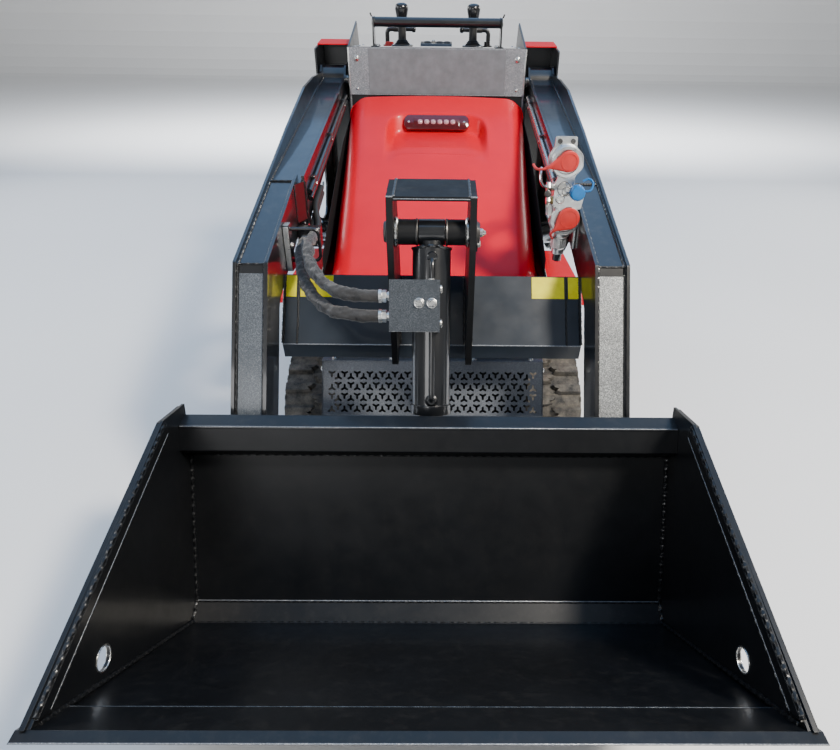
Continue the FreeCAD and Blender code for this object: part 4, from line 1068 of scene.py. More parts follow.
# cross-member: pale rod along the bottom edge as a painted highlight, end beads, film patches, seams
CMT, CMB = Vector((-243, 657)), Vector((-355, 508))
cd = (CMB - CMT).normalized()
cn = Vector((cd.y, -cd.x))
if cn.x > 0:
    cn = -cn


def on_cross(x, s, n):
    q = CMT + cd * s + cn * n
    return P(x, q.x, q.y)


for sx in (-1, 1):
    k.bead([on_cross(sx * 389, 2, 0.5), on_cross(sx * 389, 184, 0.5)], BLACK, 0.0045)
    k.bead([on_cross(sx * 352, 0, 0.6), on_cross(sx * 352.5, 60, 0.6), on_cross(sx * 351.5, 120, 0.6), on_cross(sx * 352, 186, 0.6)], BLACK, 0.0026)
    for x0, x1 in ((358, 388.5), (262, 348)):
        a, b = on_cross(sx * x0, 2.5, 0.9), on_cross(sx * x1, 42, 0.9)
        c = on_cross(sx * (x0 + x1) / 2, 31.5, 0.6)
        k.block(c, (abs(x1 - x0) / 1000, 0.058, 0.0009), YELLOW, x=(1, 0, 0), y=Vector((0, cd.x, cd.y)), ch=0.0003)
    k.bead([on_cross(sx * 101.5, 3, 0.6), on_cross(sx * 101.5, 184, 0.6)], BLACK, 0.0042)
    k.bead([on_cross(sx * 83.5, 3, 0.6), on_cross(sx * 83.5, 184, 0.6)], BLACK, 0.0036)
# pale rod along the bottom edge: painted highlight
k.rod(on_cross(-389, 186.2, -1.6), on_cross(389, 186.2, -1.6), 0.0019, PANEL_AND_HIGHLIGHT)
k.emit("cross_member_trim", "arms", angle=40)

# tilt bracket: beads, pin collars, keeper bolt, and pale strips on the lower rims as painted highlights
k = Kit()
for sx in (-1, 1):
    k.bead([P(sx * 84.0, -322, 920.5), P(sx * 84.0, -431, 907)], BLACK, 0.0040)
    k.lathe(P(sx * 83.5, -395, 819), (-sx, 0, 0), [(0.034, 0), (0.034, 0.004), (0.0305, 0.007)], STEEL, 48)
    k.lathe(P(sx * 31.5, -395, 819), (sx, 0, 0), [(0.0300, 0), (0.0312, 0.002), (0.0300, 0.005)], DARKSTEEL, 48)
    k.lathe(P(sx * 100, -395, 819), (sx, 0, 0), [(0.030, 0), (0.030, 0.003), (0.024, 0.005), (0.024, 0.0085), (0.021, 0.010), (0.0, 0.010)], DARKSTEEL, 36)
    # pale strips on the ears' lower rims: painted highlights
    k.block(P(sx * 92.5, -432.6, 907.6), (0.0156, 0.003, 0.0035), PANEL_AND_HIGHLIGHT, ch=0.0008)
# pale strip on the middle lower rim: painted highlight
k.block(P(0, -432.5, 903), (0.168, 0.0025, 0.0022), PANEL_AND_HIGHLIGHT, ch=0.0006)
k.prism(rounded(mm([(-418, 838, 8), (-372, 838, 8), (-372, 772, 14), (-398, 772, 14)])), 0.1000, 0.1060, BLACK)
k.bolt(P(106, -386, 790), (1, 0, 0), 0.0080, STEEL)
k.lathe(P(110, -395, 819), (1, 0, 0), [(0.010, 0), (0.010, 0.006), (0.006, 0.010), (0.004, 0.014), (0.0, 0.0145)], STEEL, 16)
k.emit("tilt_bracket_trim", "arms", angle=40)

# ---------------------------------------------------------------- tilt cylinder and its valve
TP, TE = Vector((-395, 819)), Vector((-613, 351))
td = (TE - TP).normalized()
tn = Vector((td.y, -td.x))


def on_tilt(x, s, n):
    q = TP + td * s + tn * n
    return P(x, q.x, q.y)


AX = Vector((0, td.x, td.y))
AN = Vector((0, tn.x, tn.y))
TUBE = paint("barrel_coat", (0.0050, 0.0060, 0.0080), rough=0.30, coat=0.8, coat_rough=0.06, grain=0.03, dust_amt=0.02)
k = Kit()
prof = [(0.0206, 0.420), (0.0206, 0.060), (0.0206, 0.050), (0.0010, 0.048), (0.0010, 0.035), (0.0420, 0.035), (0.0440, 0.037), (0.0440, 0.396), (0.0474, 0.397), (0.0474, 0.416), (0.0462, 0.419), (0.0330, 0.4195), (0.0300, 0.4245), (0.0212, 0.425), (0.0206, 0.420)]
k.lathe(on_tilt(0, 0, 0), AX, prof, TUBE, 64)
k.lathe(on_tilt(0, 22, 0), AX, [(0.0265, 0), (0.0265, 0.014)], TUBE, 32)
k.lathe(P(-30.6, -395, 819), (1, 0, 0), [(0.0212, 0.0008), (0.0280, 0), (0.0300, 0.0015), (0.0300, 0.0597), (0.0280, 0.0612), (0.0212, 0.0604), (0.0212, 0.0008)], TUBE, 56)
k.bead([on_tilt(43.5 * math.cos(a), 37.5 + 1.5 * math.sin(3 * a), 43.5 * math.sin(a)) for a in [i * math.pi / 20 for i in range(41)]], BLACK, 0.0038)
# pipe along the front of the barrel, from the base to the head
pipe = [on_tilt(2, 66, 43), on_tilt(2, 70, 52), on_tilt(2, 84, 56.5), on_tilt(2, 112, 56.5)]
k.tube(spline(pipe, 8), 0.0066, BLACK, 16)
k.lathe(on_tilt(2, 60, 42), AN, [(0.0115, 0), (0.0115, 0.006), (0.0085, 0.009), (0.0085, 0.013)], BLACK, 20)
pipe = [on_tilt(2, 226, 52), on_tilt(2, 300, 52), on_tilt(2, 366, 52), on_tilt(2, 379, 50), on_tilt(2, 386, 43)]
k.tube(spline(pipe, 8), 0.0066, BLACK, 16)
k.tube([on_tilt(2, 110, 56.5), on_tilt(2, 114, 56.5)], 0.0090, STEEL, 16)
k.lathe(on_tilt(2, 384, 41), AN, [(0.0150, 0), (0.0140, 0.005), (0.0090, 0.008), (0.0085, 0.011)], BLACK, 20)
# valve block: cover plate, a pale strip on its lower rim as a painted highlight, two bolts, side plugs, saddle
# pale strip on the lower rim: painted highlight
k.block(on_tilt(-36, 226.4, 60), (0.112, 0.0022, 0.029), PANEL_AND_HIGHLIGHT, x=(1, 0, 0), y=AX, ch=0.0006)
for x in (-26, 2):
    k.bolt(on_tilt(x, 164, 75), AN, 0.0088, STEEL, h=0.0075)
for s, n in ((132, 60), (208, 60)):
    k.lathe(on_tilt(20, s, n), (1, 0, 0), [(0.010, 0), (0.010, 0.003), (0.0085, 0.005), (0.0045, 0.005), (0.004, 0.002)], STEEL, 24)
for s in (128, 212):
    k.block(on_tilt(-10, s, 42), (0.050, 0.018, 0.012), BLACK, x=(1, 0, 0), y=AX, ch=0.0015)
k.emit("tilt_cylinder_tube", "tilt_barrel", angle=40, replaces=("tilt_cylinder_barrel",))
k = Kit()
for n, (y, z) in (("a", FIT_A), ("b", FIT_B)):
    q = P(-92, y, z)
    d = Vector((-1, 0, 0))
    k.lathe(q, d, [(0.0105, 0), (0.0105, 0.004), (0.0090, 0.0045), (0.0090, 0.006)], ZINC, 24)
    k.lathe(q + d * 0.006, d, [(0.0128, 0), (0.0140, 0.001), (0.0140, 0.0090), (0.0128, 0.010)], ZINC, 6)
    k.lathe(q + d * 0.016, d, [(0.0135, 0), (0.0152, 0.001), (0.0152, 0.0075), (0.0135, 0.008)], ZINC, 32)
k.emit("hose_fittings", "tilt_barrel", angle=35, replaces=("tilt_hose_fittings",))
# tilt rod's eye
k = Kit()
for sx in (-1, 1):
    k.lathe(P(sx * 30, -613, 351), (sx, 0, 0), [(0.0300, 0), (0.0310, 0.0015), (0.0220, 0.0035), (0.0215, 0.0035)], DARKSTEEL, 40)
k.bead([on_tilt(20.6 * math.cos(a), 516.3 - 33, 20.6 * math.sin(a)) for a in [i * math.pi / 14 for i in range(29)]], BLACK, 0.003)
k.emit("tilt_rod_trim", "tilt_rod", angle=40)

# lift cylinders
LPp, LEp = Vector((790, 455)), Vector((60, 690))
lv = (LEp - LPp).normalized()
for sx, nm in ((1, "left"), (-1, "right")):
    A = Vector((0, lv.x, lv.y))
    q = lambda s: P(sx * 420, LPp.x + lv.x * s, LPp.y + lv.y * s)
    k = Kit()
    k.lathe(q(664), A, [(0.0320, 0), (0.0350, 0.001), (0.0350, 0.024), (0.0335, 0.026), (0.0240, 0.0265), (0.0178, 0.0300)], BLACK, 44)
    k.lathe(q(28), A, [(0.0320, 0), (0.0338, 0.002), (0.0338, 0.006), (0.0320, 0.008)], BLACK, 44)
    n2 = Vector((0, -lv.y, lv.x))
    if n2.z < 0:
        n2 = -n2
    for s in (58, 645):
        k.lathe(q(s) + n2 * 0.030, n2, [(0.012, 0), (0.012, 0.008), (0.009, 0.009), (0.009, 0.016), (0.011, 0.0165), (0.011, 0.024), (0.008, 0.0245)], STEEL, 6)
    k.tube(spline([q(645) + n2 * 0.050, q(640) + n2 * 0.058, q(625) + n2 * 0.060, q(400) + n2 * 0.046, q(120) + n2 * 0.046, q(75) + n2 * 0.056, q(62) + n2 * 0.056]), 0.006, BLACK, 12)
    k.emit(nm + "_lift_barrel_trim", "lift_barrel_" + nm, angle=40)
    k = Kit()
    c = P(sx * 420, 60, 690)
    for s2 in (-1, 1):
        k.lathe(c + Vector((s2 * 0.020, 0, 0)), (s2, 0, 0), [(0.0265, 0), (0.0270, 0.001), (0.0180, 0.0030)], DARKSTEEL, 36)
    k.emit(nm + "_lift_rod_trim", "lift_rod_" + nm, angle=40)

# ---------------------------------------------------------------- leg fronts: thin speckled sheets carrying painted sun glare, brighter on the left leg
# grey speckle on both leg fronts is painted sun glare on black paint; the left leg's copy is brighter
LEG_GLARE = flake("leg_front_painted_glare", (0.075, 0.088, 0.105), (0.34, 0.37, 0.40), rough=0.36, metal=0.25, size=900, edge=0.0008, amount=0.55)
LEG_GLARE_BRIGHT = flake("leg_front_painted_glare_bright", (0.190, 0.200, 0.205), (0.85, 0.87, 0.86), rough=0.36, metal=0.35, size=850, edge=0.0008, amount=0.7)
for sx, nm in ((1, "left"), (-1, "right")):
    k = Kit()
    a2, a3 = Vector(TOPL[2]), Vector(TOPL[3])
    u = (a3 - a2).normalized()
    f = Vector((-abs(u.y), u.x * (1 if u.y < 0 else -1)))
    f = Vector((u.y, -u.x))
    if f.x > 0:
        f = -f
    c = a2 + u * 292 + f * 0.4
    k.block(P(sx * 432, c.x, c.y), (0.0575, 0.540, 0.0008), LEG_GLARE_BRIGHT if sx > 0 else LEG_GLARE, x=(1, 0, 0), y=Vector((0, u.x, u.y)), ch=0.0003)
    k.emit(nm + "_leg_front", "arms", angle=40)

# ---------------------------------------------------------------- auxiliary couplers
F = Vector((0, -1, 0))               # forward
UPZ = Vector((0, 0, 1))
k = Kit()
YF = -150                            # plate's front face
plate = [(309, 993, 4), (363, 993, 4), (364, 968, 8), (383, 950, 22), (386, 918, 20), (367, 896, 10), (369, 868, 6), (388, 850, 8), (388, 822, 8), (372, 806, 14), (390, 782, 26), (378, 746, 20), (352, 738, 16), (322, 748, 20), (307, 780, 24), (322, 812, 14), (310, 830, 6), (312, 866, 6), (326, 900, 12), (297, 912, 20), (294, 946, 20), (307, 968, 10)]


def front_plate(kit, loop, y0, y1, mat):
    """Prism of an (x, z) outline between two stations."""
    pts = rounded([tuple(v / 1000 for v in q) for q in loop])
    n = len(pts)
    a = [Vector((p[0], (y0 + DY) / 1000, p[1])) for p in pts]
    b = [Vector((p[0], (y1 + DY) / 1000, p[1])) for p in pts]
    area2 = sum(pts[i][0] * pts[(i + 1) % n][1] - pts[(i + 1) % n][0] * pts[i][1] for i in range(n))
    if area2 < 0:
        a.reverse()
        b.reverse()
    fs = [tuple(range(n)), tuple(range(2 * n - 1, n - 1, -1))] + [(i, n + i, n + (i + 1) % n, (i + 1) % n) for i in range(n)]
    kit.put(a + b, fs, mat)


front_plate(k, plate, YF, YF + 8, ZINC)
front_plate(k, [(312, 868, 5), (388, 868, 5), (390, 846, 5), (386, 818, 6), (330, 814, 6), (312, 832, 5)], YF - 26, YF, ZINC)
k.block(P(367, -103, 796), (0.045, 0.078, 0.080), BLACK, ch=0.002)
for x in (319, 352):
    k.bolt(P(x, YF, 982), F, 0.0062, DARKSTEEL, washer=False, kind="cap")
# upper and lower couplers: collar, groove and dust cap with its strap
for cx, cz, capm in ((338, 936, REDCAP), (349, 788, REDCAP)):
    q = P(cx, YF, cz)
    k.lathe(q, F, [(0.0405, 0), (0.0405, 0.005), (0.0380, 0.007), (0.0360, 0.007), (0.0360, 0.013), (0.0385, 0.014), (0.0400, 0.017), (0.0400, 0.023), (0.0375, 0.0255), (0.0300, 0.026), (0.0290, 0.022), (0.0, 0.022)], ZINC, 56)
    k.ringbar(q + F * 0.010, F, 0.0365, 0.0014, DARKSTEEL, 48)


def drop_cap(cx, cz, r, tail, ang, y, mat, h=0.010):
    """Round cap whose outline runs out into a tail."""
    t = math.radians(ang)
    d, n = Vector((math.cos(t), math.sin(t))), Vector((-math.sin(t), math.cos(t)))
    c = Vector((cx, cz))
    out = []
    for i in range(29):
        a = math.radians(52) + (2 * math.pi - 2 * math.radians(52)) * i / 28
        out.append(c + d * (r * math.cos(a)) + n * (r * math.sin(a)))
    out += [c + d * (tail * 0.82) - n * 4.5, c + d * tail - n * 3.0, c + d * tail + n * 3.0, c + d * (tail * 0.82) + n * 4.5]
    m = len(out)
    vs, fs = [], []
    for f_, dy in ((1.0, 0.0), (1.0, h * 0.65), (0.93, h * 0.92), (0.80, h)):
        for p in out:
            w = c + (p - c) * f_
            vs.append(Vector((w.x / 1000, (y + DY) / 1000 - dy, w.y / 1000)))
    for j in range(3):
        for i in range(m):
            fs.append((j * m + i, j * m + (i + 1) % m, (j + 1) * m + (i + 1) % m, (j + 1) * m + i))
    fs.append(tuple(3 * m + i for i in range(m)))
    k.put(vs, fs, mat)
    return c + d * tail


e1 = drop_cap(341, 938, 26, 60, 196, YF - 25, REDCAP)
e2 = drop_cap(356, 794, 29, 54, 222, YF - 25, REDCAP)
k.tube(spline([P(e1.x + 6, YF - 30, e1.y + 1), P(e1.x - 8, YF - 28, e1.y - 3), P(e1.x - 20, YF - 14, e1.y - 4), P(e1.x - 26, YF + 6, e1.y + 2)]), 0.0034, REDCAP, 8)
k.tube(spline([P(e2.x + 3, YF - 30, e2.y + 3), P(e2.x - 2, YF - 26, e2.y - 8), P(e2.x + 6, YF - 10, e2.y - 22), P(e2.x + 14, YF + 2, e2.y - 20)]), 0.0034, REDCAP, 8)
for cx, cz, r in ((341, 938, 0.020), (356, 794, 0.022)):
    k.ringbar(P(cx, YF - 35.2, cz), F, r, 0.0009, REDCAP, 40, 6)
# lower coupler's skirt and knurled body, round hose below
k.lathe(P(343, YF + 6, 752), -UPZ, [(0.026, 0), (0.026, 0.012), (0.022, 0.016), (0.022, 0.020), (0.020, 0.021), (0.020, 0.045), (0.017, 0.048), (0.017, 0.062), (0.010, 0.064)], ZINC, 36)
for i in range(24):
    a = 2 * math.pi * i / 24
    k.rod(P(343 + 20.2 * math.cos(a), YF + 6 + 20.2 * math.sin(a), 730), P(343 + 20.2 * math.cos(a), YF + 6 + 20.2 * math.sin(a), 708), 0.0010, ZINC, 6)
# blue cap with strap
q = P(371, YF - 26, 862)
k.lathe(q, F, [(0.020, 0), (0.020, 0.004), (0.0185, 0.005), (0.0185, 0.016), (0.0165, 0.019), (0.010, 0.020), (0.0, 0.0195)], BLUECAP, 32)
for i in range(16):
    a = 2 * math.pi * i / 16
    c = q + Vector((0.0187 * math.cos(a), 0, 0.0187 * math.sin(a)))
    k.rod(c + F * 0.006, c + F * 0.0155, 0.0012, BLUECAP, 6)
k.tube(spline([q + Vector((0.014, -0.016, 0.006)), q + Vector((0.030, -0.020, 0.010)), q + Vector((0.036, -0.012, 0.026)), q + Vector((0.026, -0.002, 0.034)), q + Vector((0.012, 0.0, 0.028))]), 0.0028, BLUECAP, 8)
# round button, key ring and wire
k.lathe(P(329, YF - 26, 845), F, [(0.0120, 0), (0.0120, 0.004), (0.0100, 0.006), (0.0075, 0.006), (0.0070, 0.0045), (0.0, 0.0045)], STEEL, 32)
k.ringbar(P(336, YF - 30, 871), Vector((0.2, -1, 0.15)), 0.0175, 0.0010, DARKSTEEL, 44, 6)
k.ringbar(P(343, YF - 29, 864), Vector((-0.3, -1, 0.3)), 0.0110, 0.0009, DARKSTEEL, 36, 6)
k.tube(spline([P(324, YF - 28, 880), P(332, YF - 33, 888), P(341, YF - 30, 880), P(338, YF - 34, 866), P(350, YF - 28, 860)]), 0.0011, STEEL, 6)
# inlet fittings toward the machine's middle
for z, m1, dx in ((873, STEEL, 0), (838, BRASS, 2)):
    q = P(312 + dx, YF - 12, z)
    k.lathe(q, (-1, 0, 0), [(0.0105, 0), (0.0105, 0.006), (0.0085, 0.007), (0.0085, 0.014)], m1, 20)
    k.lathe(q + Vector((-0.010, 0, 0)), (-1, 0, 0), [(0.0118, 0), (0.0124, 0.001), (0.0124, 0.008), (0.0118, 0.009)], ZINC, 6)
k.tube(spline([P(296, YF - 12, 873), P(286, YF - 12, 874), P(279, YF - 8, 884), P(278, YF + 2, 900), P(280, YF + 14, 915)]), 0.0042, CHROME, 10)
k.lathe(P(300, YF - 10, 855), (-0.3, -1, 0), [(0.0090, 0), (0.0090, 0.010), (0.0070, 0.012), (0.0, 0.0125)], DARKSTEEL, 16)
k.lathe(P(306, YF - 16, 815), UPZ, [(0.0, -0.014), (0.0085, -0.014), (0.0085, 0.008), (0.0065, 0.012), (0.0, 0.012)], ZINC, 6)
# vertical pipe and a black hose to the right of the lower coupler
for x, z0, z1, m1 in ((392 - 6, 700, 800, ZINC),):
    k.rod(P(x, YF + 14, z0), P(x, YF + 14, z1), 0.0065, m1, 18)
    k.lathe(P(x, YF + 14, 760), UPZ, [(0.0105, 0), (0.0112, 0.001), (0.0112, 0.018), (0.0105, 0.019)], STEEL, 6)
k.tube(spline([P(372, YF + 40, 760), P(372, YF + 38, 735), P(368, YF + 26, 716), P(360, YF + 18, 700), P(352, YF + 10, 690)]), 0.0075, BLACK, 12)
k.lathe(P(343, YF + 6, 690), -UPZ, [(0.012, 0), (0.012, 0.020), (0.009, 0.022), (0.0, 0.022)], BLACK, 20)
# coupler bodies and hoses behind the plate
for cx, cz in ((338, 936), (349, 788)):
    k.lathe(P(cx, YF + 8, cz), -F, [(0.024, 0), (0.024, 0.018), (0.020, 0.020), (0.020, 0.040), (0.016, 0.042), (0.016, 0.062), (0.0, 0.062)], ZINC, 6)
k.tube(spline([P(338, -84, 936), P(340, -60, 934), P(350, -30, 918), P(358, 0, 900), P(361, 40, 880)]), 0.0105, RUBBER, 14)
k.tube(spline([P(349, -84, 788), P(350, -66, 788), P(356, -40, 786), P(361, -10, 790), P(362, 40, 800)]), 0.0105, RUBBER, 14)
k.emit("aux_couplers", "arms", angle=35, replaces=("aux_coupler_block",))

# ---------------------------------------------------------------- hose guide and bulkhead
k = Kit()
k.prism(rounded(mm([(-216, 778, 3), (-184, 778, 3), (-184, 655, 3), (-216, 655, 3)])), -0.390, -0.374, BLACK)
# zinc strip on the black guide's front face and pale strip on its top: painted highlights
k.block(P(-382, -216.8, 716), (0.014, 0.0016, 0.119), ZINC, ch=0.0005)
k.block(P(-382, -200, 778.6), (0.014, 0.028, 0.0012), PANEL_AND_HIGHLIGHT, ch=0.0004)
hp = rounded([(-0.374, 0.766, 0.001), (-0.300, 0.766, 0.018), (-0.300, 0.680, 0.018), (-0.374, 0.680, 0.001)], 6)
k.tube([Vector((p[0], (-200 + DY) / 1000, p[1])) for p in hp], 0.0046, BLACK, 14)
k.bolt(P(-374, -200, 722), (1, 0, 0), 0.0065, STEEL)
k.bead([P(-374.5, -200 + 9 * math.cos(i), 766 + 5 * math.sin(i)) for i in range(7)], BLACK, 0.0016)
k.emit("hose_hoop", "arms", angle=40, replaces=("hose_guide",))
k = Kit()
k.block(P(-357, -45, 700), (0.066, 0.030, 0.056), BLACK, ch=0.002)
for x in (-342, -368):
    z = 709 if x == -342 else 692
    k.lathe(P(x, -60, z), F, [(0.017, 0), (0.0178, 0.001), (0.0178, 0.010), (0.017, 0.011)], STEEL, 6)
    k.lathe(P(x, -30, z), -F, [(0.014, 0), (0.014, 0.010), (0.011, 0.012), (0.011, 0.024)], ZINC, 6)
    k.tube(spline([P(x, -8, z), P(x - 4 if x == -342 else x + 4, 30, z + 10), P(-361, 90, z + 44), P(-361, 200, z + 74)]), 0.0092, RUBBER, 14)
for z in (720, 680):
    k.bolt(P(-331, -60, z), F, 0.0045, STEEL, washer=False, kind="cap")
k.emit("hose_ports", "arms", angle=40, replaces=("hose_bulkhead",))

# ---------------------------------------------------------------- console
k = Kit()
k.block(P(0, 903.9, 1074), (0.540, 0.0012, 0.160), BLANK, ch=0.0004)
for sx in (-1, 1):
    k.bolt(P(sx * 316, 904.4, 1120), (0, -1, 0), 0.0085, STEEL, kind="pan")
    k.bolt(P(sx * 318, 904.4, 1012), (0, -1, 0), 0.0050, STEEL, kind="pan", washer=False)
    k.block(P(sx * 347, 905, 1075), (0.0050, 0.004, 0.164), ZINC, ch=0.0012)
    # bolts through the wing flange to the tower
    for y, z in ((980, 1100), (1110, 1130), (1060, 960)):
        k.bolt(P(sx * 349.5, y, z), (sx, 0, 0), 0.0070, STEEL)
# blue-grey strip on the console's top edge and pale line on its lower edge: painted highlights
k.block(P(0, 907.5, 1158.6), (0.690, 0.006, 0.0016), SKY_SHEEN_BLACK, ch=0.0005)
k.block(P(0, 904.2, 991.5), (0.680, 0.0010, 0.003), PANEL_AND_HIGHLIGHT, ch=0.0003)
k.emit("console_trim", "chassis", angle=40)
# wings' inner faces carry a grey-brown cast
WINGIN = paint("wing_inner", (0.085, 0.078, 0.070), rough=0.40, coat=0.3, coat_rough=0.2, dust_amt=0.15)
k = Kit()
W = [(915, 1161), (915, 1163), (1196, 1240, 4), (1232, 1161, 6)]
for sx in (-1, 1):
    a, b = sorted((sx * 0.3422, sx * 0.3434))
    k.prism(rounded(mm([(911 + 3, 1159), (1198, 1242, 6), (1237, 1159, 6)])), a, b, WINGIN)
    # blue-grey tube along the wing's top edge: painted highlight
    line = [P(sx * 346.5, 911, 1158.5), P(sx * 346.5, 1198, 1245.4)]
    k.tube(resample(line, 0.03), 0.0031, SKY_SHEEN_BLACK, 8)
k.emit("wing_lining", "chassis", angle=40)

# reference bar: tube, thin bent end plates and feet
k = Kit()
k.tube([P(x, 985, 1244) for x in (-249, -248, -100, 100, 248, 249)], 0.0175, BLACK, 36)
for sx in (-1, 1):
    a, b = sorted((sx * 0.249, sx * 0.255))
    k.prism(rounded(mm([(957, 1159, 2), (963, 1262, 10), (1006, 1262, 10), (1027, 1159, 2)])), a, b, BLACK)
    k.lathe(P(sx * 255, 985, 1244), (sx, 0, 0), [(0.0135, 0), (0.0135, 0.002), (0.009, 0.0045), (0.0, 0.005)], STEEL, 24)
    a, b = sorted((sx * 0.230, sx * 0.262))
    k.prism(mm([(955, 1158.4), (955, 1162), (1030, 1162), (1030, 1158.4)]), a, b, BLACK)
    k.tube(spline([P(sx * 255, 958, 1262), P(sx * 258, 955, 1268), P(sx * 260, 954, 1274)]), 0.0030, BLACK, 8)
    for y in (968, 1016):
        k.bolt(P(sx * 238, y, 1162), UPZ, 0.0058, STEEL)
    k.ringbar(P(sx * 247, 985, 1244), (1, 0, 0), 0.0175, 0.0022, BLACK, 36)
k.emit("hand_bar", "chassis", angle=40, replaces=("reference_bar",))

# drive levers with bellows and knobs
k = Kit()
for x in (-145, 145):
    q = P(x, 1075, 1158.2)
    k.block(q + Vector((0, 0, 0.0025)), (0.086, 0.086, 0.005), BLACK, ch=0.0015)
    for dx, dy in ((36, 36), (-36, 36), (36, -36), (-36, -36)):
        k.bolt(q + Vector((dx / 1000, dy / 1000, 0.005)), UPZ, 0.0042, STEEL, kind="pan", washer=False)
    k.lathe(q, UPZ, [(0.0335, 0.004), (0.0335, 0.007), (0.0290, 0.009), (0.0305, 0.012), (0.0245, 0.014), (0.0260, 0.0175), (0.0205, 0.0195), (0.0215, 0.0225), (0.0170, 0.0245), (0.0165, 0.034), (0.0160, 0.080)], GRIP, 40)
    k.lathe(q + Vector((0, 0, 0.080)), UPZ, [(0.0175, 0), (0.0180, 0.002), (0.0185, 0.010), (0.0225, 0.030), (0.0262, 0.050), (0.0266, 0.056), (0.0250, 0.064), (0.0200, 0.070), (0.0110, 0.0734), (0.0, 0.0742)], KNOB, 44)
    k.ringbar(q + Vector((0, 0, 0.0805)), UPZ, 0.0170, 0.0018, KNOB, 36)
k.emit("lever_grips", "chassis", angle=50, replaces=("drive_levers",))
k = Kit()
for sx in (-1, 1):
    k.lathe(P(sx * 215, 1190, 1158.2), UPZ, [(0.019, 0), (0.019, 0.003), (0.0125, 0.005), (0.0110, 0.009)], BLACK, 28)
    bent = rounded([(sx * 0.215, 1.1600, 0), (sx * 0.215, 1.220, 0.016), (sx * 0.096, 1.220, 0)], 8)
    k.tube([Vector((p[0], (1190 + DY) / 1000, p[1])) for p in bent], 0.0090, BLACK, 18)
    k.lathe(P(sx * 110, 1190, 1220), (-sx, 0, 0), [(0.0092, 0), (0.0118, 0.002), (0.0126, 0.008), (0.0122, 0.013), (0.0090, 0.0165), (0.0, 0.0175)], KNOB, 28)
    k.lathe(P(sx * 190, 1190, 1220), (-sx, 0, 0), [(0.0092, 0), (0.0112, 0.002), (0.0112, 0.050), (0.0092, 0.052)], GRIP, 24)
k.emit("auxiliary_handles", "chassis", angle=45, replaces=("control_handles",))
# instrument hump and dials on the console top, keyed switch, gauges
k = Kit()
k.prism(rounded(mm([(1120, 1158, 0), (1126, 1168, 6), (1196, 1176, 6), (1206, 1158, 0)])), -0.072, 0.060, KNOB)
for x in (-44, 8, 40):
    c = P(x, 1162, 1172.2)
    k.lathe(c, (0, -0.11, 1), [(0.0150, -0.001), (0.0150, 0.003), (0.0125, 0.004), (0.0120, 0.002), (0.0, 0.002)], KNOB, 32)
k.lathe(P(-18, 1162, 1172.2), (0, -0.11, 1), [(0.007, 0), (0.007, 0.008), (0.005, 0.009), (0.0, 0.009)], STEEL, 20)
k.lathe(P(-200, 1100, 1158.2), UPZ, [(0.024, 0), (0.024, 0.004), (0.018, 0.006), (0.017, 0.016), (0.0, 0.017)], REDCAP, 32)
k.lathe(P(205, 1100, 1158.2), UPZ, [(0.020, 0), (0.020, 0.004), (0.012, 0.006), (0.012, 0.020), (0.0, 0.021)], KNOB, 32)
for x in (-322, 322):
    for y in (935, 1080, 1215):
        k.bolt(P(x, y, 1158), UPZ, 0.0052, STEEL, kind="pan", washer=False)
k.emit("instrument_hump", "chassis", angle=40)

# ---------------------------------------------------------------- bucket: weld beads, seams, rims and edge strips
def u2(a, b):
    return (Vector(b) - Vector(a)).normalized()


FLO = u2((-855, 49), (-1300, 387))
UPB = Vector((FLO.y, -FLO.x))
if UPB.x < 0:
    UPB = -UPB
BKD = u2((-809, 77), (-671, 389))
BIN = Vector((-BKD.y, BKD.x))
SBT = u2((-855, 49), (-809, 77))
SIN = Vector((-SBT.y, SBT.x))
k = Kit()
T1 = 7.0
fr = Vector((-855, 49)) + UPB * T1 + SIN * 1.5
ce = Vector((-1300, 387)) + UPB * 13.0
lb = Vector((-809, 77)) + BIN * T1
bt = Vector((-671, 389)) + BIN * T1


def bp(x, q):
    return P(x, q.x, q.y)


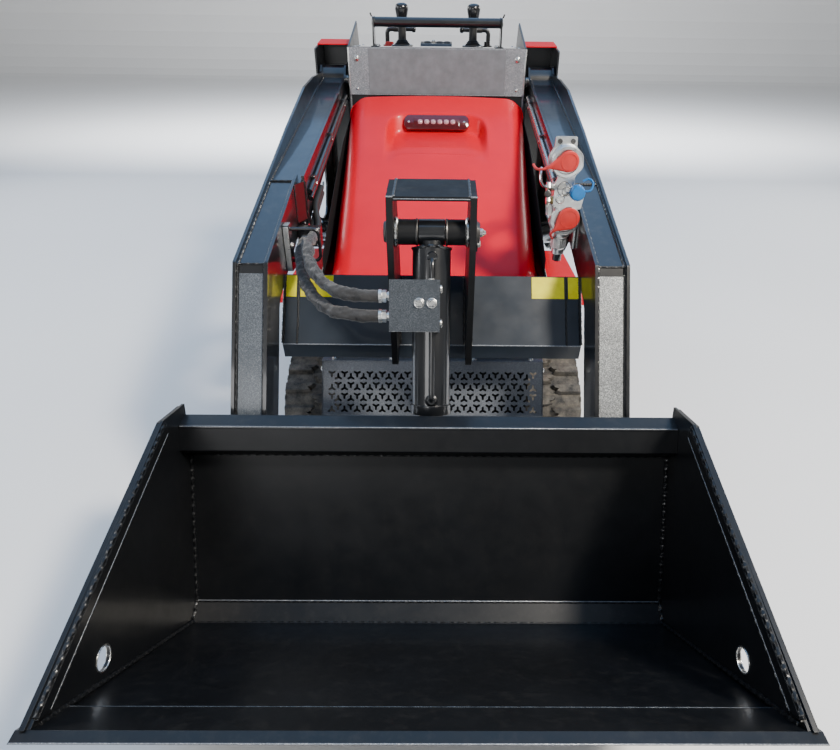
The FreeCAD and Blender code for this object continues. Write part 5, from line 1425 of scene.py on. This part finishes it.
for sx in (-1, 1):
    x = sx * 532.6
    k.bead([bp(x, ce - FLO * 30), bp(x, fr + UPB * 0.5)], BUCKETM, 0.0052, period=0.009)
    k.bead([bp(x, fr), bp(x, lb)], BUCKETM, 0.0052, period=0.009)
    k.bead([bp(x, lb), bp(x, bt)], BUCKETM, 0.0052, period=0.009)
    # strip along the outer edge of the side plate, and its inner bead
    e0, e1 = Vector((-1285, 392)), Vector((-752, 531))
    d = (e1 - e0).normalized()
    n = Vector((-d.y, d.x))
    if n.y > 0:
        n = -n
    loop = [e0 + n * 1, e1 + n * 1, e1 + n * 34, e0 + n * 34 + d * 30]
    a, b = sorted((sx * 0.540, sx * 0.548))
    k.prism(mm([tuple(q) for q in loop]), a, b, BUCKETM)
    k.bead([P(sx * 540.6, *(e0 + n * 35 + d * 32)), P(sx * 540.6, *(e1 + n * 35))], BUCKETM, 0.0032)
    a2, b2 = sorted((sx * 0.5295, sx * 0.534))
    loop = [e0 + n * 5 + d * 14, e1 + n * 5, e1 + n * 24 - d * 6, e0 + n * 24 + d * 34]
    k.prism(mm([tuple(q) for q in loop]), a2, b2, BUCKETM)
    k.bead([P(sx * 533.2, *(e0 + n * 2.5 + d * 16)), P(sx * 533.2, *(e1 + n * 2.5))], BUCKETM, 0.0040, period=0.009)
    k.bead([P(sx * 532.6, *(e0 + n * 27 + d * 38)), P(sx * 532.6, *(e1 + n * 27 - d * 8))], BUCKETM, 0.0040, period=0.009)
    # pale rod along the strip's edge: painted highlight
    k.rod(P(sx * 529.4, *(e0 + n * 24 + d * 34)), P(sx * 529.4, *(e1 + n * 24 - d * 8)), 0.0007, PANEL_AND_HIGHLIGHT, 6)
    loop = [Vector((-752, 531)), Vector((-654, 508)), Vector((-675, 470)), Vector((-752, 492))]
    k.prism(mm([tuple(q) for q in loop]), a, b, BUCKETM)
    # hole rims
    for xx, o in ((sx * 533.8, -sx), (sx * 540.2, sx)):
        k.ringbar(P(xx, -1120, 311), (1, 0, 0), 0.0212, 0.0014, STEEL, 44)
    # outer skid strips under the corners
    s0, s1 = Vector((-1190, 303)), Vector((-862, 54))
    d = (s1 - s0).normalized()
    n = Vector((-UPB.x, -UPB.y))
    for x0, x1 in ((470, 530),):
        k.block(P(sx * (x0 + x1) / 2, *((s0 + s1) / 2 + n * 3.2)), ((x1 - x0) / 1000, (s1 - s0).length / 1000, 0.006), BUCKETM, x=(1, 0, 0), y=Vector((0, d.x, d.y)), ch=0.0015)
# seams across the floor and back, with pale rods and a speckled line along edges as painted highlights
k.bead([bp(-533, lb), bp(533, lb)], BUCKETM, 0.0030, period=0.012)
# pale rod along the back seam: painted highlight
k.rod(bp(-532, lb + BKD * 2.5 + BIN * 0.4), bp(532, lb + BKD * 2.5 + BIN * 0.4), 0.0011, PANEL_AND_HIGHLIGHT, 8)
k.bead([bp(-533, fr), bp(533, fr)], BUCKETM, 0.0026, period=0.012)
s2 = Vector((-1300, 387)) - FLO * 95 + UPB * 6.6
k.bead([bp(-532, s2), bp(532, s2)], BUCKETM, 0.0026, period=0.010)
s3 = Vector((-1300, 387)) - FLO * 91.6 + UPB * 12.0
# speckled line on the cutting-edge step: painted highlight
k.tube(resample([bp(-531, s3), bp(531, s3)], 0.006), 0.0011, SPECK_AND_HIGHLIGHT, 6, wob=lambda q, t: 0.75 + 0.5 * noise.noise(Vector((q * 60, 0, 0))))
k.tube([P(-533, -694.9, 481.0), P(533, -694.9, 481.0)], 0.0050, BLACK, 20)
# pale rod on the top bar's rounded corner: painted highlight
k.rod(P(-532, -698.0, 485.0), P(532, -698.0, 485.0), 0.0012, PANEL_AND_HIGHLIGHT, 6)
k.bead([P(-532, -673, 391.5), P(532, -673, 391.5)], BUCKETM, 0.0028, period=0.012)
# pale rod along the cutting edge: painted highlight
k.rod(P(-554, -1298.6, 386.9), P(554, -1298.6, 386.9), 0.0012, PANEL_AND_HIGHLIGHT, 6)
# bottom seams and stiffeners behind the back wall
mid = Vector((-809, 77)).lerp(Vector((-671, 389)), 0.52) - BIN * 10
for z0 in (0.30, 0.62):
    c = Vector((-809, 77)).lerp(Vector((-671, 389)), z0) - BIN * 7.0
    k.block(bp(0, c), (0.72, 0.050, 0.012), BUCKETM, x=(1, 0, 0), y=Vector((0, BKD.x, BKD.y)), ch=0.003)
for sx in (-1, 1):
    for x in (364.4, 383.6, 33.4, 48.6):
        q = Vector((-630, 212)) if x > 100 else Vector((-613, 351))
        f = (q.x + 809) * BKD.x + (q.y - 77) * BKD.y
        c0 = Vector((-809, 77)) + BKD * (f - (88 if x > 100 else 72)) - BIN * 1.5
        c1 = Vector((-809, 77)) + BKD * (f + (100 if x > 100 else 48)) - BIN * 1.5
        k.bead([bp(sx * x, c0), bp(sx * x, c1)], BUCKETM, 0.0045, period=0.009)
k.emit("bucket_welds", "bucket", angle=50)
# pins through the hinge ears: heads, keepers
k = Kit()
for sx in (-1, 1):
    k.lathe(P(sx * 482, -630, 212), (sx, 0, 0), [(0.0245, 0), (0.0245, 0.004), (0.021, 0.0065), (0.0, 0.0065)], STEEL, 32)
    k.rod(P(sx * 485, -630, 186), P(sx * 485, -630, 238), 0.0035, ZINC, 12)
k.lathe(P(-54, -613, 351), (-1, 0, 0), [(0.024, 0), (0.024, 0.004), (0.018, 0.006), (0.0, 0.006)], STEEL, 32)
k.lathe(P(54, -613, 351), (1, 0, 0), [(0.024, 0), (0.024, 0.004), (0.018, 0.006), (0.0, 0.006)], STEEL, 32)
k.rod(P(-54, -613, 351), P(54, -613, 351), 0.0200, DARKSTEEL, 32)
k.emit("bucket_pin_heads", "bucket", angle=40)

# ---------------------------------------------------------------- side plates, towers, fenders
for sx, nm in ((1, "left"), (-1, "right")):
    k = Kit()
    for y, z in ((20, 512), (220, 512), (420, 512), (560, 512), (900, 640), (960, 380), (1080, 380)):
        k.bolt(P(sx * (486 if y > 700 else 357), y, z), (sx, 0, 0), 0.0085, STEEL)
    # arm pin and lift pin heads with keeper plates and bolts
    for (y, z), r in (((1025, 1035), 0.030), ((790, 455), 0.025)):
        q = P(sx * 486, y, z)
        k.lathe(q, (sx, 0, 0), [(r + 0.012, 0), (r + 0.012, 0.004), (r + 0.010, 0.006), (r * 0.85, 0.006)], BLACK, 40)
        k.lathe(q + Vector((sx * 0.006, 0, 0)), (sx, 0, 0), [(r * 0.8, 0), (r * 0.8, 0.0075), (r * 0.7, 0.009), (0.006, 0.009), (0.005, 0.006), (0.0, 0.006)], STEEL, 36)
        k.block(q + Vector((sx * 0.0085, 0, -r - 0.016)), (0.006, 0.040, 0.030), BLACK, ch=0.002)
        k.bolt(q + Vector((sx * 0.0115, 0, -r - 0.018)), (sx, 0, 0), 0.0075, STEEL)
    # rear plate bolts and the corner beads
    for z in (360, 560, 760, 960, 1110):
        k.bolt(P(sx * 420, 1120, z), (0, 1, 0), 0.0075, STEEL)
    k.bead([P(sx * 479, 1112, 305), P(sx * 479, 1112, 1170)], BLACK, 0.004)
    k.bead([P(sx * 357.5, 1112, 305), P(sx * 357.5, 1112, 1170)], BLACK, 0.004)
    # hydraulic lines inside the tower
    for i, y in enumerate((1092, 1072, 1052)):
        k.tube(spline([P(sx * 368, y, 310), P(sx * 368, y, 520), P(sx * 368, y - 4 * i, 760), P(sx * 366, y - 30, 900), P(sx * 365, y - 70, 960)]), 0.0085, RUBBER, 12)
        k.lathe(P(sx * 368, y, 500), (0, 0, 1), [(0.011, 0), (0.0115, 0.001), (0.0115, 0.018), (0.011, 0.019)], ZINC, 6)
    for z in (430, 640):
        k.block(P(sx * 363, 1072, z), (0.012, 0.070, 0.022), BLACK, ch=0.002)
        k.bolt(P(sx * 369, 1082, z), (sx, 0, 0), 0.0045, STEEL, washer=False)
    # fender: folded lip, stay and bolts
    k.block(P(sx * 474.5, 201, 494), (0.003, 0.476, 0.014), RED, ch=0.001)
    k.block(P(sx * 416, -37, 494), (0.118, 0.003, 0.014), RED, ch=0.001)
    for y in (0, 200, 400):
        k.bolt(P(sx * 372, y, 504), (0, 0, 1), 0.0065, STEEL)
    k.tube([P(sx * 362, 430, 495), P(sx * 400, 432, 495), P(sx * 466, 432, 495)], 0.006, BLACK, 12)
    # dark sheet between the side plate and the hood: painted shade in the gap
    a, b = sorted((sx * 0.3495, sx * 0.3505))
    k.prism(mm([(60, 549), (420, 640), (860, 800), (936, 952), (936, 1010), (860, 905), (640, 850), (420, 765), (60, 600)]), a, b, GRIP)
    # edge trim on the red side plate
    edge_line = [P(sx * 353.5, -38, 524), P(sx * 353.5, 200, 582), P(sx * 353.5, 420, 640), P(sx * 353.5, 640, 719), P(sx * 353.5, 835, 790)]
    k.tube(resample(edge_line, 0.02), 0.0046, KNOB, 10)
    k.emit(nm + "_tower_trim", "chassis", angle=40)

# ---------------------------------------------------------------- rear panel, platform
k = Kit()
# raised door with louvres, latch and hinges
k.block(P(0, 1112, 690), (0.560, 0.004, 0.300), BLACK, ch=0.0015)
for i in range(9):
    z = 600 + i * 22
    vs = [P(-200, 1114.2, z), P(-20, 1114.2, z), P(-20, 1122, z - 1), P(-200, 1122, z - 1), P(-200, 1114.2, z + 12), P(-20, 1114.2, z + 12)]
    k.put(vs, [(0, 1, 2, 3), (3, 2, 5, 4), (0, 3, 4), (1, 5, 2)], BLACK)
    vs = [Vector((-v.x, v.y, v.z)) for v in vs]
    k.put(vs, [(3, 2, 1, 0), (4, 5, 2, 3), (4, 3, 0), (2, 5, 1)], BLACK)
for sx in (-1, 1):
    for z in (560, 820):
        k.bolt(P(sx * 266, 1114, z), (0, 1, 0), 0.0070, STEEL)
        k.bolt(P(sx * 332, 1110, z), (0, 1, 0), 0.0075, STEEL)
    k.rod(P(sx * 283, 1113, 600), P(sx * 283, 1113, 660), 0.006, STEEL, 14)
    k.rod(P(sx * 283, 1113, 720), P(sx * 283, 1113, 780), 0.006, STEEL, 14)
k.lathe(P(0, 1114, 812), (0, 1, 0), [(0.022, 0), (0.022, 0.003), (0.018, 0.005), (0.018, 0.012), (0.0, 0.013)], KNOB, 28)
k.block(P(0, 1128, 812), (0.008, 0.006, 0.040), KNOB, ch=0.002)
# round rear lamps and a padded leg rest
for sx in (-1, 1):
    k.lathe(P(sx * 300, 1110, 540), (0, 1, 0), [(0.024, 0), (0.024, 0.006), (0.021, 0.010), (0.0, 0.0115)], LENS, 32)
    k.ringbar(P(sx * 300, 1111, 540), (0, 1, 0), 0.0245, 0.0022, KNOB, 32)
k.block(P(0, 1116, 520), (0.420, 0.012, 0.036), GRIP, ch=0.005)
k.emit("rear_door", "chassis", angle=40)
k = Kit()
# platform tread: raised diamonds in alternating directions
for i in range(11):
    for j in range(16):
        x, y = -214 + j * 28.5, 1132 + i * 24
        if y > 1386:
            continue
        a = math.radians(45 if (i + j) % 2 else -45)
        k.block(P(x, y, 182.9), (0.020, 0.0055, 0.0022), BLACK, x=(math.cos(a), math.sin(a), 0), y=(-math.sin(a), math.cos(a), 0), ch=0.001)
for x in (-225, 225):
    for y in (1140, 1260, 1380):
        k.bolt(P(x, y, 182), (0, 0, 1), 0.0065, STEEL, kind="pan")
for x in (-180, 0, 180):
    k.bolt(P(x, 1116, 262), (0, 1, 0), 0.0085, STEEL)
k.bead([P(-233, 1117, 183), P(233, 1117, 183)], BLACK, 0.004)
k.block(P(0, 1401, 150), (0.470, 0.003, 0.050), GRIP, ch=0.001)
k.emit("platform_tread", "chassis", angle=40)

# hood hinge rings and their pin ends
k = Kit()
for sx in (-1, 1):
    for x in (110, 262):
        k.ringbar(P(sx * x, -51, 480), (1, 0, 0), 0.0125, 0.0030, BLACK, 24)
    k.lathe(P(sx * 280, -51, 480), (sx, 0, 0), [(0.016, 0), (0.016, 0.005), (0.010, 0.008), (0.0, 0.008)], STEEL, 24)
k.emit("hood_hinge_rings", "chassis", angle=40)

# ---------------------------------------------------------------- light and floor
floor_m = Mat("floor", (0.94, 0.94, 0.94), 0.8)
floor_m.color(floor_m.mix(floor_m.ramp(floor_m.noise(0.7, 2), 0.3, 0.7), (0.93, 0.925, 0.915), (0.95, 0.945, 0.935)))
me = bpy.data.meshes.new("floor")
rows = [(-30.0, 0.0), (16.0, 0.0)] + [(16.0 + 2.4 * math.sin(i * math.pi / 16), 2.4 - 2.4 * math.cos(i * math.pi / 16)) for i in range(1, 9)] + [(18.4, 3.6)]
vs = [(x, y, z) for y, z in rows for x in (-40.0, 40.0)]
me.from_pydata(vs, [], [(2 * i, 2 * i + 1, 2 * i + 3, 2 * i + 2) for i in range(len(rows) - 1)])
me.materials.append(floor_m.m)
floor = bpy.data.objects.new("floor", me)
bpy.context.scene.collection.objects.link(floor)

world = bpy.data.worlds.new("studio")
bpy.context.scene.world = world
world.use_nodes = True
wn = world.node_tree
bg = wn.nodes["Background"]
bg.inputs["Color"].default_value = (0.93, 0.96, 1.0, 1)
bg.inputs["Strength"].default_value = 0.30


def area(name, loc, target, size, power, color):
    d = bpy.data.lights.new(name, "AREA")
    d.shape = "RECTANGLE"
    d.size, d.size_y = size
    d.energy = power
    d.color = color
    o = bpy.data.objects.new(name, d)
    o.location = loc
    v = Vector(target) - Vector(loc)
    o.rotation_euler = v.to_track_quat("-Z", "Y").to_euler()
    bpy.context.scene.collection.objects.link(o)
    return o


area("sky", (0.0, 3.0, 6.0), (0, 3.0, 0), (8.0, 12.0), 350, (0.24, 0.53, 1.0))
area("wash", (0, 5.2, 3.0), (0, 14, -0.4), (9.0, 1.2), 900, (1.0, 1.0, 1.0))
area("key", (2.8, -2.6, 4.4), (0, 0, 0.6), (0.8, 0.8), 420, (1.0, 0.92, 0.80))
area("front", (-1.8, -4.6, 2.2), (0, 0, 0.5), (2.0, 1.4), 45, (1.0, 1.0, 1.0))
area("rear_left", (3.9, 3.7, 2.6), (0, 0.3, 0.6), (1.8, 1.5), 75, (1.0, 0.97, 0.92))
area("rear_right", (-3.9, 3.7, 2.6), (0, 0.3, 0.6), (1.8, 1.5), 55, (0.95, 0.97, 1.0))
area("side", (-4.4, -0.4, 2.4), (0, 0, 0.6), (1.6, 2.2), 45, (0.94, 0.97, 1.0))
